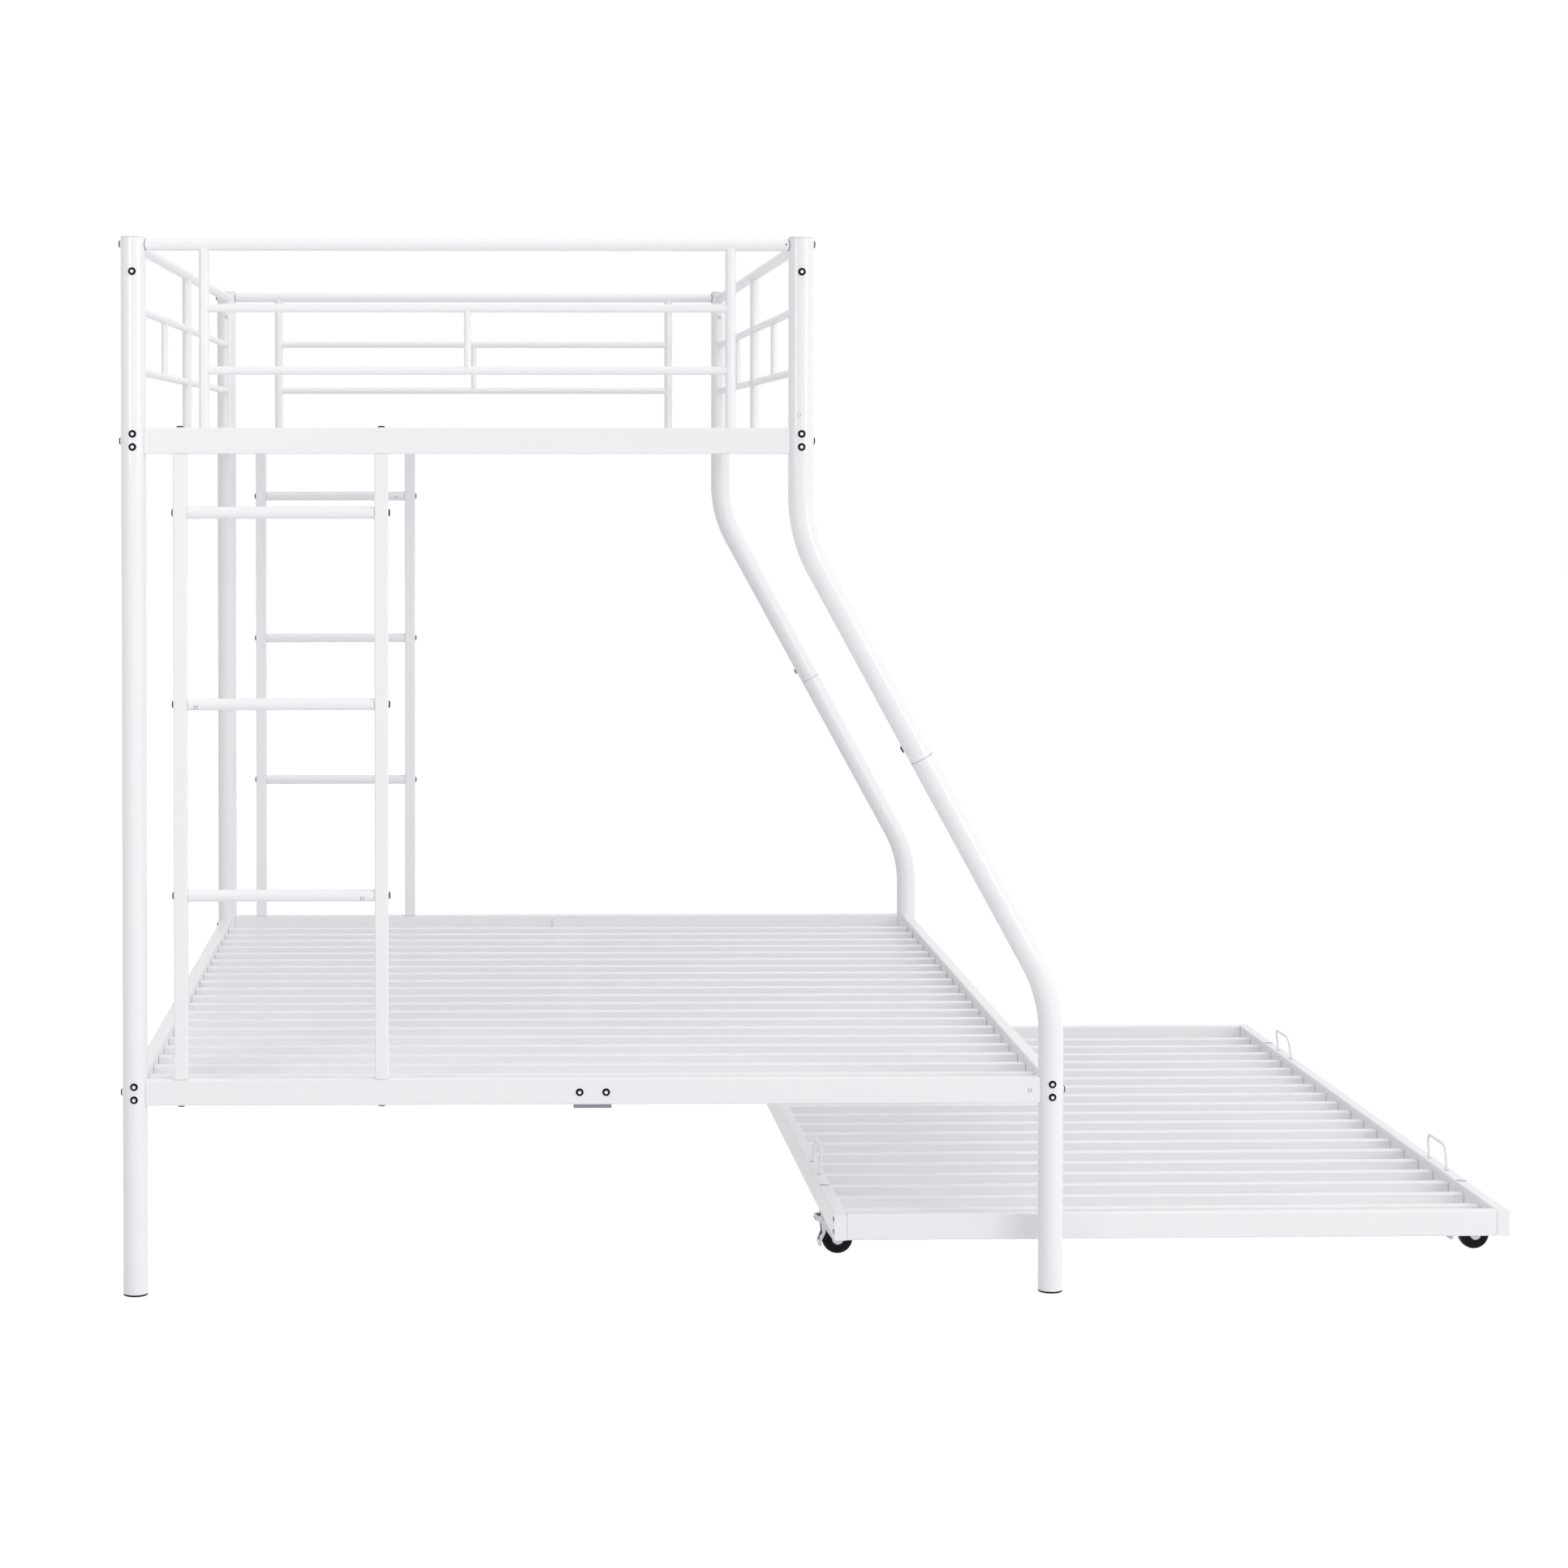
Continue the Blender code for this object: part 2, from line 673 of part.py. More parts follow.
def centre_bar(coat, zinc, frame):
    """The bar that carries the middle of the lower slats, and the folded bracket at each of its ends."""
    slat_bottom = LOWER_RAIL_TOP - SLAT_DROP - SLAT_SIZE
    shelf_bottom = LOWER_RAIL_BOTTOM - BRACKET_DROP
    shelf_top = shelf_bottom + BRACKET_SHEET
    plate = RAIL_WIDTH / 2 + SEAT_GAP
    bar_end = plate + BRACKET_SHEET + SEAT_GAP
    half = CENTRE_BAR_WIDTH / 2
    low = (BRACKET_PLACE - half, bar_end, shelf_top + SEAT_GAP)
    high = (BRACKET_PLACE + half, BED_LENGTH - bar_end, slat_bottom - SEAT_GAP)
    bore = rail_bore(low, high, CENTRE_BAR_WALL, 1)
    piece("centre_support_bar", coat, [block(low, high)], frame, cut=[[bore]])

    left, right = BRACKET_PLACE - BRACKET_WIDTH / 2, BRACKET_PLACE + BRACKET_WIDTH / 2
    for end, y in ENDS.items():
        inward = -OUTWARD[end]

        def part(x_low, x_high, start, reach, z_low, z_high):
            """A sheet of the bracket, between two distances inward of the post axes."""
            near, far = sorted((y + inward * start, y + inward * reach))
            return block((x_low, near, z_low), (x_high, far, z_high))

        back = part(left, right, plate, plate + BRACKET_SHEET, shelf_bottom, LOWER_RAIL_TOP - BRACKET_MARGIN)
        shelf = part(left, right, plate + BRACKET_SHEET / 2, plate + BRACKET_REACH, shelf_bottom, shelf_top)
        lip_top = shelf_bottom + BRACKET_LIP
        lips = [
            part(x, x + BRACKET_SHEET, plate + BRACKET_SHEET / 2, plate + BRACKET_REACH, shelf_bottom, lip_top)
            for x in (left, right - BRACKET_SHEET)
        ]
        piece(f"centre_bar_bracket_{end}", zinc, [back], frame, joined=[[shelf], lips])


def ladder(end, coat, frame):
    """Two stiles between the lower and upper end rails, and the rungs between them."""
    y = ENDS[end]
    half = STILE_SIZE / 2
    bottom, top = LOWER_RAIL_TOP + SEAT_GAP, UPPER_RAIL_BOTTOM - SEAT_GAP
    for side, x in zip(("left", "right"), STILE_PLACES):
        low, high = (x - half, y - half, bottom), (x + half, y + half, top)
        bore = rail_bore(low, high, STILE_WALL, 2)
        piece(f"ladder_{end}_stile_{side}", coat, [block(low, high)], frame, cut=[[bore]])
    left, right = STILE_PLACES[0] + half + SEAT_GAP, STILE_PLACES[1] - half - SEAT_GAP
    for number in range(RUNG_COUNT):
        z = LOWEST_RUNG + number * RUNG_PITCH
        path = [Vector((left, y, z)), Vector((right, y, z))]
        tube = bent_tube(path, Vector((0.0, 1.0, 0.0)), RUNG_RADIUS, RUNG_RADIUS - RUNG_WALL, TUBE_SIDES)
        piece(f"ladder_{end}_rung_{number + 1}", coat, [tube], frame)


# Trundle


def corner_places(inset):
    """Where each corner's fitting stands on the trundle's side rails, a distance in from the rail's end."""
    across = {"left": RAIL_WIDTH / 2, "right": TRUNDLE_WIDTH - RAIL_WIDTH / 2}
    along = {"front": inset, "rear": TRUNDLE_LENGTH - inset}
    return {f"{end}_{side}": (x, y) for end, y in along.items() for side, x in across.items()}


def trundle_frame(coat, trundle):
    """The slatted deck of the trundle, holed for its castor sockets and loops, and its two end rails."""
    bottom, top = TRUNDLE_RAIL_BOTTOM - CUT_OVERRUN, TRUNDLE_RAIL_TOP + CUT_OVERRUN
    holes = [
        rod((x, y, bottom), (x, y, top), SOCKET_RADIUS + SEAT_GAP)
        for x, y in corner_places(CASTOR_INSET).values()
    ]
    for x, y in corner_places(LOOP_INSET).values():
        for step in (-LOOP_LENGTH / 2, LOOP_LENGTH / 2):
            start = (x, y + step, TRUNDLE_RAIL_TOP - RAIL_HEIGHT / 2)
            finish_point = (x, y + step, TRUNDLE_RAIL_TOP + CUT_OVERRUN)
            holes.append(rod(start, finish_point, WIRE_RADIUS + LEG_CLEARANCE, THIN_SIDES))
    sides = (RAIL_WIDTH / 2, TRUNDLE_WIDTH - RAIL_WIDTH / 2)
    places = slat_places(TRUNDLE_SLATS, TRUNDLE_SLAT_INSET, TRUNDLE_LENGTH)
    deck = slatted_deck(
        "trundle_deck_frame",
        coat,
        trundle,
        sides,
        TRUNDLE_LENGTH,
        TRUNDLE_RAIL_BOTTOM,
        TRUNDLE_SLAT_DROP,
        places,
        cut=(),
        end_wall=RAIL_WALL,
    )
    drill = deck.modifiers.new("holes", "BOOLEAN")
    drill.operation = "DIFFERENCE"
    drill.solver = "EXACT"
    drill.object = guide("trundle_holes", holes, trundle)

    left, right = RAIL_WIDTH + SEAT_GAP, TRUNDLE_WIDTH - RAIL_WIDTH - SEAT_GAP
    for end, y in (("front", 0.0), ("rear", TRUNDLE_LENGTH - RAIL_WIDTH)):
        low, high = (left, y, TRUNDLE_RAIL_BOTTOM), (right, y + RAIL_WIDTH, TRUNDLE_RAIL_TOP)
        bore = rail_bore(low, high, RAIL_WALL, 0)
        piece(f"trundle_end_rail_{end}", coat, [block(low, high)], trundle, cut=[[bore]])


def mattress_loop(corner, coat, trundle):
    """A wire loop that leans over the trundle's mattress, its legs in the rail's top."""
    x, y = corner_places(LOOP_INSET)[corner]
    stand = empty(f"mattress_loop_{corner}_lean", trundle, (x, y, TRUNDLE_RAIL_TOP))
    stand.rotation_euler = (0.0, LOOP_LEANS[corner], 0.0)
    half, top = LOOP_LENGTH / 2, LOOP_HEIGHT - WIRE_RADIUS
    ends = [Vector((0.0, step, -LOOP_SINK)) for step in (-half, half)]
    corners = [ends[0], Vector((0.0, -half, top)), Vector((0.0, half, top)), ends[1]]
    path = rounded_path(corners, LOOP_CORNER, CORNER_STEPS)
    wire = bent_wire(path, Vector((1.0, 0.0, 0.0)), WIRE_RADIUS, WIRE_SIDES)
    piece(f"mattress_loop_{corner}", coat, [wire], stand)


# Castors, modelled about the stem's axis with +X towards the wheel


def cheek_outline():
    """A fork cheek from the side: wide at the crown and rounded about the axle."""
    arc = []
    for k in range(EAR_STEPS + 1):
        angle = math.pi * k / EAR_STEPS
        arc.append((CASTOR_TRAIL + EAR_RADIUS * math.cos(angle), WHEEL_RADIUS - EAR_RADIUS * math.sin(angle)))
    top = RACE_BOTTOM - CROWN_HEIGHT / 4
    return [(CROWN_FRONT, top), *arc, (-CROWN_BACK, top - CHEEK_BACK_DROP), (-CROWN_BACK, top)]


def castor_fork(corner, zinc, swivel):
    """The fork with its bearing race, stem, axle and the brake lever's pins."""
    half = CHEEK_SHEET / 2
    crown = block(
        (-CROWN_BACK + half, -CHEEK_INSIDE - half, RACE_BOTTOM - CROWN_HEIGHT),
        (CROWN_FRONT - half, CHEEK_INSIDE + half, RACE_BOTTOM),
    )
    outline = cheek_outline()
    cheeks = [prism(outline, CHEEK_INSIDE, CHEEK_OUTSIDE), prism(outline, -CHEEK_OUTSIDE, -CHEEK_INSIDE)]
    race = [
        (RACE_RADIUS, RACE_BOTTOM - CROWN_HEIGHT / 2),
        (RACE_RADIUS, RACE_TOP),
        (STEM_RADIUS, RACE_TOP),
        (STEM_RADIUS, RACE_TOP + STEM_LENGTH),
    ]
    root = CHEEK_OUTSIDE - CHEEK_SHEET / 2
    head = CHEEK_OUTSIDE + AXLE_HEAD
    axle = [
        (AXLE_HEAD_RADIUS, -head),
        (AXLE_HEAD_RADIUS, -root),
        (AXLE_RADIUS, -root),
        (AXLE_RADIUS, root),
        (AXLE_HEAD_RADIUS, root),
        (AXLE_HEAD_RADIUS, head),
    ]
    axle_rod = turned(axle, TUBE_SIDES, place=(CASTOR_TRAIL, 0.0, WHEEL_RADIUS), axis="Y")
    yoke_face = CHEEK_OUTSIDE + YOKE_GAP + YOKE_SHEET + YOKE_GAP
    pins = []
    for side in (-1.0, 1.0):
        pin = [(PIVOT_RADIUS, root), (PIVOT_RADIUS, yoke_face), (PIVOT_HEAD_RADIUS, yoke_face)]
        pin.append((PIVOT_HEAD_RADIUS, yoke_face + AXLE_HEAD))
        profile = [(radius, side * reach) for radius, reach in pin]
        pins.append(turned(profile, THIN_SIDES, place=(-PIVOT_BACK, 0.0, PIVOT_HEIGHT), axis="Y"))
    joined = [cheeks, [turned(race, TUBE_SIDES)], [axle_rod, *pins]]
    piece(f"castor_{corner}_fork", zinc, [crown], swivel, joined=joined)


def castor_wheel(corner, rubber, swivel):
    """A wheel with chamfered edges, turned about its bore."""
    axle = empty(f"castor_{corner}_axle", swivel, (CASTOR_TRAIL, 0.0, WHEEL_RADIUS))
    half = WHEEL_WIDTH / 2
    bore = AXLE_RADIUS + RUNNING_GAP
    profile = [
        (bore, -half),
        (WHEEL_RADIUS - WHEEL_CHAMFER, -half),
        (WHEEL_RADIUS, -half + WHEEL_CHAMFER),
        (WHEEL_RADIUS, half - WHEEL_CHAMFER),
        (WHEEL_RADIUS - WHEEL_CHAMFER, half),
        (bore, half),
    ]
    piece(f"castor_{corner}_wheel", rubber, [turned(profile, WHEEL_SIDES, closed=True, axis="Y")], axle)


def brake_lever(corner, zinc, swivel):
    """The yoke that locks a castor, on its pins: two side arms, the pedal and the tail."""
    pivot = empty(f"castor_{corner}_brake_pivot", swivel, (-PIVOT_BACK, 0.0, PIVOT_HEIGHT))
    lever = empty(f"castor_{corner}_brake_rest", pivot)
    lever.rotation_euler = (0.0, LEVER_RESTS[corner], 0.0)
    inside = CHEEK_OUTSIDE + YOKE_GAP
    outside = inside + YOKE_SHEET
    arms = [prism(YOKE_OUTLINE, inside, outside), prism(YOKE_OUTLINE, -outside, -inside)]
    reach = inside + YOKE_SHEET / 2
    bridges = [prism(PEDAL_OUTLINE, -reach, reach), prism(TAIL_OUTLINE, -reach, reach)]
    hole_end = outside + CUT_OVERRUN
    hole = rod((0.0, -hole_end, 0.0), (0.0, hole_end, 0.0), PIVOT_RADIUS + RUNNING_GAP, THIN_SIDES)
    piece(f"castor_{corner}_brake_lever", zinc, arms, lever, joined=[bridges], cut=[[hole]])


def castor_socket(corner, plastic, trundle, place):
    """The plastic socket in the rail that the stem turns in, its head on the rail's top."""
    x, y = place
    head = TRUNDLE_RAIL_TOP + SEAT_GAP
    profile = [
        (SOCKET_RADIUS, TRUNDLE_RAIL_BOTTOM),
        (SOCKET_RADIUS, head),
        (SOCKET_HEAD_RADIUS, head),
        (SOCKET_HEAD_RADIUS, head + SOCKET_HEAD),
    ]
    bore_top = RACE_TOP + STEM_LENGTH + SOCKET_BORE_END
    bore = rod((x, y, TRUNDLE_RAIL_BOTTOM - CUT_OVERRUN), (x, y, bore_top), STEM_RADIUS + RUNNING_GAP)
    body = turned(profile, TUBE_SIDES, place=(x, y, 0.0))
    piece(f"castor_{corner}_socket", plastic, [body], trundle, cut=[[bore]])


def castor(corner, zinc, rubber, plastic, trundle):
    """One castor: socket, swivelling fork, wheel and brake lever."""
    place = corner_places(CASTOR_INSET)[corner]
    swivel = empty(f"castor_{corner}_swivel", trundle, (*place, 0.0), CASTOR_TURNS[corner])
    castor_socket(corner, plastic, trundle, place)
    castor_fork(corner, zinc, swivel)
    castor_wheel(corner, rubber, swivel)
    brake_lever(corner, zinc, swivel)


def main():
    for item in list(bpy.data.objects):
        bpy.data.objects.remove(item, do_unlink=True)
    coat = finish("white_powder_coat", (0.80, 0.80, 0.82), 0.35, 0.0)
    steel = finish("bare_steel", (0.55, 0.55, 0.56), 0.40, 1.0)
    zinc = finish("zinc_plate", (0.60, 0.60, 0.62), 0.35, 1.0)
    black = finish("black_nylon", (0.012, 0.012, 0.014), 0.35, 0.0)
    white = finish("white_plastic", (0.85, 0.85, 0.86), 0.40, 0.0)

    frame = empty("bed_frame", None, (-floor_middle(), -BED_LENGTH / 2, 0.0))
    upper_cut = post_clearance("upper_post_clearance", UPPER_WIDTH, frame)
    lower_cut = post_clearance("lower_post_clearance", LOWER_WIDTH, frame)
    for end, y in ENDS.items():
        left_post(end, coat, frame)
        right_posts(end, coat, steel, frame)
        for side, foot_x, cap_x in (("left", 0.0, 0.0), ("right", LOWER_WIDTH, UPPER_WIDTH)):
            foot(f"foot_{end}_{side}", foot_x, y, black, frame)
            post_cap(f"post_cap_{end}_{side}", cap_x, y, white, frame)
        end_panel(end, coat, frame, upper_cut)
        lower_end_rail(end, coat, frame, lower_cut)
        ladder(end, coat, frame)

    places = slat_places(BUNK_SLATS, BUNK_SLAT_INSET, BED_LENGTH)
    for level, width, bottom, cutter in (
        ("upper", UPPER_WIDTH, UPPER_RAIL_BOTTOM, upper_cut),
        ("lower", LOWER_WIDTH, LOWER_RAIL_BOTTOM, lower_cut),
    ):
        sides = (0.0, width)
        name = f"{level}_deck_frame"
        slatted_deck(name, coat, frame, sides, BED_LENGTH, bottom, SLAT_DROP, places, [cutter])
    guard("left", 0.0, coat, frame, upper_cut)
    guard("right", UPPER_WIDTH, coat, frame, upper_cut)
    centre_bar(coat, zinc, frame)

    trundle = empty("trundle_place", frame, (*TRUNDLE_PLACE, 0.0), TRUNDLE_SKEW)
    trundle_frame(coat, trundle)
    for corner in CORNERS:
        mattress_loop(corner, coat, trundle)
        castor(corner, zinc, black, white, trundle)


main()
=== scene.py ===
"""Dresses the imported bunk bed: the finished look of every tube, rail, slat, bolt, cap, loop and castor."""

import json
import math

import bmesh
import bpy
from bpy.props import FloatProperty, IntProperty, PointerProperty, StringProperty
from mathutils import Matrix, Vector


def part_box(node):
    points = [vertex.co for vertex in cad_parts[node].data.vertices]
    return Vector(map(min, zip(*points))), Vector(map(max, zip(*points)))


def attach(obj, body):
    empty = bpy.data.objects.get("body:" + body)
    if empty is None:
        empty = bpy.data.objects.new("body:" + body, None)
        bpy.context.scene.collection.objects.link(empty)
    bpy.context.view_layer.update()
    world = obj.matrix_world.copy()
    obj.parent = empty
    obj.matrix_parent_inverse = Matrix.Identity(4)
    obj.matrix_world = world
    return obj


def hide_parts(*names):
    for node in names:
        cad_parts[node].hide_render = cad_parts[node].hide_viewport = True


bl_info = {
    "name": "Bunk Bed with Trundle",
    "version": (1, 0, 0),
    "blender": (4, 5, 0),
    "location": "View3D > Sidebar > Bunk Bed",
    "description": "Builds the visible pieces of a metal bunk bed and its trundle around the packed model",
    "category": "Add Mesh",
}

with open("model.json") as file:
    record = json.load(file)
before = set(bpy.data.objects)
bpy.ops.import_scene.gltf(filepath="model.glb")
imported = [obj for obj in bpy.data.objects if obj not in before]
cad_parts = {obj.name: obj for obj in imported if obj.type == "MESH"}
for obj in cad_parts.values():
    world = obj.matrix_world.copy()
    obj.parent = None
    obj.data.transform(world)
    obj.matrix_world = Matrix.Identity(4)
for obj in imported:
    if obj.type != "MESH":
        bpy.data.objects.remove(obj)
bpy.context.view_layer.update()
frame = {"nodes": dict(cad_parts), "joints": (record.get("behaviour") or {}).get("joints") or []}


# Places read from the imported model


def span(node):
    """The low corner, the middle and the high corner of a node's box."""
    low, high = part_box(node)
    return low, (low + high) / 2, high


def middle(node):
    """The middle of a node's box."""
    return span(node)[1]


def heights(node):
    """The bottom, the middle and the top of a node."""
    return [corner.z for corner in span(node)]


LEFT_X = middle("foot_front_left").x
UPPER_X = middle("post_cap_front_right").x
LOWER_X = middle("foot_front_right").x
ENDS = {"front": middle("foot_front_left").y, "rear": middle("foot_rear_left").y}
OUTWARD = {"front": -1.0, "rear": 1.0}
CORNERS = ("front_left", "rear_left", "front_right", "rear_right")
RUNGS = (1, 2, 3)
JOINTS = {joint["name"]: joint for joint in frame["joints"]}
_, UPPER_RAIL_MID, UPPER_RAIL_TOP = heights("upper_deck_frame")
LOWER_RAIL_BOTTOM, LOWER_RAIL_MID, LOWER_RAIL_TOP = heights("lower_deck_frame")
TRUNDLE_BOTTOM, _, TRUNDLE_TOP = heights("trundle_end_rail_front")
POST_BOTTOM, _, POST_TOP = heights("post_front_left")
BED_TOP = heights("post_cap_front_left")[2]


def stem_place(corner):
    """Where a castor's stem stands on the floor plan."""
    return Vector(JOINTS[f"castor_{corner}_swivel"]["pos_m"])


def trundle_matrix(sizes):
    """From the trundle's own corner and edges to the bed's frame."""
    left, right = stem_place("front_left"), stem_place("front_right")
    turn = Matrix.Rotation(math.atan2(right.y - left.y, right.x - left.x), 4, "Z")
    corner = left - turn @ Vector((sizes.rail_width / 2, sizes.castor_inset, 0.0))
    return Matrix.Translation((corner.x, corner.y, 0.0)) @ turn


def trundle_size(sizes):
    """The trundle's width and length, from its castors."""
    stems = [stem_place(corner) for corner in ("front_left", "front_right", "rear_left")]
    width = (stems[1] - stems[0]).length + sizes.rail_width
    return width, (stems[2] - stems[0]).length + 2 * sizes.castor_inset


# Sizes and colours a user would change


def length(name, description, default):
    return FloatProperty(name=name, description=description, default=default, unit="LENGTH", precision=4)


def count(name, description, default):
    return IntProperty(name=name, description=description, default=default, min=1)


def colour(name, description, default):
    return StringProperty(name=name, description=description, default=default)


class BedSizes(bpy.types.PropertyGroup):
    """Sizes of the bed's tubes, slats, loops and fasteners."""

    post_radius: length("Post radius", "Outside radius of the posts", 0.0190)
    bend_radius: length("Bend radius", "Radius of the cranked posts' bends", 0.2280)
    upper_bend: length("Upper bend height", "Where the cranked post's upper runs would meet", 1.1680)
    lower_bend: length("Lower bend height", "Where the cranked post's lower runs would meet", 0.4580)
    seam_share: FloatProperty(name="Seam", description="Seam's place along the slant", default=0.517)
    seam_gap: length("Seam gap", "Gap between the cranked post's two tubes", 0.0010)
    rail_height: length("Rail height", "Height of the rectangular rails", 0.0400)
    rail_width: length("Rail width", "Width of the rectangular rails", 0.0200)
    rail_corner: length("Rail corner", "Radius of the rails' long edges", 0.0025)
    cope_gap: length("Cope gap", "Gap where a tube is cut round a post", 0.0006)
    # The grey rings at the top tubes' ends are painted shade in the gap
    gap_shade_thickness: length("Gap shade ring", "Thickness of the grey washers at the top tubes' ends", 0.0011)
    top_drop: length("Top tube drop", "Top tubes' axes below the caps", 0.0132)
    top_radius: length("Top tube radius", "Radius of the top tubes", 0.0090)
    tall_radius: length("Tall upright radius", "Radius of the tall uprights", 0.0080)
    thin_radius: length("Thin rail radius", "Radius of the thin rails", 0.00635)
    short_radius: length("Short upright radius", "Radius of the short uprights", 0.00525)
    thin_low: length("Lower thin rail", "Height of the lower thin rail", 1.4207)
    thin_high: length("Upper thin rail", "Height of the upper thin rail", 1.5160)
    upright_inset: length("Upright inset", "Tall uprights' distance from the posts", 0.1080)
    short_inset: length("Short upright inset", "Short uprights' distance from the posts", 0.5280)
    slat_size: length("Slat size", "Height and width of the slats", 0.0200)
    slat_corner: length("Slat corner", "Radius of the slats' edges", 0.0016)
    slat_gap: length("Slat gap", "Gap at a slat's end, where it is welded underneath", 0.0005)
    slat_drop: length("Slat drop", "Slat tops below the rail tops", 0.0130)
    slat_pitch: length("Slat pitch", "Distance from slat to slat", 0.0908)
    slats: count("Slats", "Slats of a bunk deck", 20)
    castor_inset: length("Castor inset", "Castor stems' distance from the trundle's ends", 0.2320)
    trundle_slats: count("Trundle slats", "Slats of the trundle", 19)
    trundle_pitch: length("Trundle slat pitch", "Distance from slat to slat on the trundle", 0.0899)
    trundle_drop: length("Trundle slat drop", "Slat tops below the trundle's rail tops", 0.0118)
    loop_inset: length("Loop inset", "Loops' distance from the trundle's ends", 0.3695)
    loop_length: length("Loop length", "Distance between a loop's legs", 0.1050)
    loop_height: length("Loop height", "Loops' height over the rail", 0.0430)
    loop_corner: length("Loop corner", "Radius of the loops' corners", 0.0150)
    wire_radius: length("Wire radius", "Radius of the loops' wire", 0.0025)
    head_radius: length("Bolt head radius", "Radius of a bolt's button head", 0.0060)
    head_height: length("Bolt head height", "Height of a bolt's button head", 0.0030)
    socket_radius: length("Hexagon socket", "Corner radius of a bolt's hexagon socket", 0.0029)
    socket_depth: length("Socket depth", "Depth of a bolt's hexagon socket", 0.0010)
    screw_radius: length("Screw head radius", "Radius of the trundle's corner screws", 0.0042)
    plug_radius: length("Castor plug radius", "Radius of the plug on the trundle's rail", 0.0075)


class BedColours(bpy.types.PropertyGroup):
    """Colours of the finishes, as sRGB hex."""

    coat: colour("Powder coat", "The steel's white coat", "#F0F0F1")
    zinc: colour("Zinc", "Zinc-plated fittings", "#D6D7DB")
    # Painted highlight: the pale copy of the zinc, on bolt sockets and skirts and on the brake pedal's lobes
    painted_highlight: colour("Painted highlight", "The sockets of bolt heads, which catch the light", "#F0F1F4")
    # Painted dark reflection and painted shade: the near-black copy of the zinc
    painted_shade_and_reflection: colour("Painted shade and reflection", "The turned-down rims of bolt heads", "#151518")
    steel: colour("Steel", "Bare steel sleeves", "#B5B6B9")
    # This grey is also painted shade at the top tubes' ends, on the near post's hole plug and round the
    # castor sockets' heads
    bracket: colour("Bracket", "Grey primed sheet", "#9A9AA4")
    nylon: colour("Nylon", "Black moulded wheels and feet", "#0B0B0D")
    plug: colour("Plug", "White moulded caps and plugs", "#F2F2F4")


# Nodes and materials


def linear(code):
    """An sRGB hex colour as linear red, green, blue and alpha."""
    values = [int(code[i : i + 2], 16) / 255 for i in (1, 3, 5)]
    return (*(v / 12.92 if v <= 0.04045 else ((v + 0.055) / 1.055) ** 2.4 for v in values), 1.0)


def add_node(tree, kind, settings=None, **links):
    """Adds a node, sets its values and links its inputs. An input's underscores stand for spaces."""
    node = tree.nodes.new(kind)
    for key, value in (settings or {}).items():
        if hasattr(node, key):
            setattr(node, key, value)
        else:
            node.inputs[key].default_value = value
    for key, source in links.items():
        tree.links.new(source, node.inputs[key.replace("_", " ")])
    return node


def noise(tree, mapping, grain_mm):
    """Noise whose grains have a real size."""
    settings = {"Scale": 1000.0 / grain_mm}
    return add_node(tree, "ShaderNodeTexNoise", settings, Vector=mapping.outputs["Vector"]).outputs["Fac"]


def material(name, code, metallic, roughness, grain, drift=None, stretch=(1.0, 1.0, 1.0), **levels):
    """A Principled material, with the values that are the same all over it set on the shader.

    Its grain is a size in mm, a strength in height and a spread in roughness. Its drift is a second colour,
    and the size in mm of the patches that lean to it.
    """
    finish = bpy.data.materials.new(name)
    finish.use_nodes = True
    tree = finish.node_tree
    shader = tree.nodes["Principled BSDF"]
    levels.update(Base_Color=linear(code), Metallic=metallic, Roughness=roughness)
    for key, value in levels.items():
        shader.inputs[key.replace("_", " ")].default_value = value
    place = add_node(tree, "ShaderNodeTexCoord")
    mapping = add_node(tree, "ShaderNodeMapping", {"Scale": stretch}, Vector=place.outputs["Object"])
    grain_mm, strength, spread = grain
    height = noise(tree, mapping, grain_mm)
    ends = {"To Min": roughness - spread, "To Max": roughness + spread}
    rough = add_node(tree, "ShaderNodeMapRange", ends, Value=height)
    tree.links.new(rough.outputs["Result"], shader.inputs["Roughness"])
    bump = add_node(tree, "ShaderNodeBump", {"Strength": strength, "Distance": 0.0003}, Height=height)
    tree.links.new(bump.outputs["Normal"], shader.inputs["Normal"])
    if drift:
        other_code, patch_mm = drift
        mix = add_node(tree, "ShaderNodeMix", {"data_type": "RGBA"}, Factor=noise(tree, mapping, patch_mm))
        ends = [socket for socket in mix.inputs if socket.type == "RGBA"]
        ends[0].default_value, ends[1].default_value = linear(code), linear(other_code)
        result = next(socket for socket in mix.outputs if socket.type == "RGBA")
        tree.links.new(result, shader.inputs["Base Color"])
    return finish


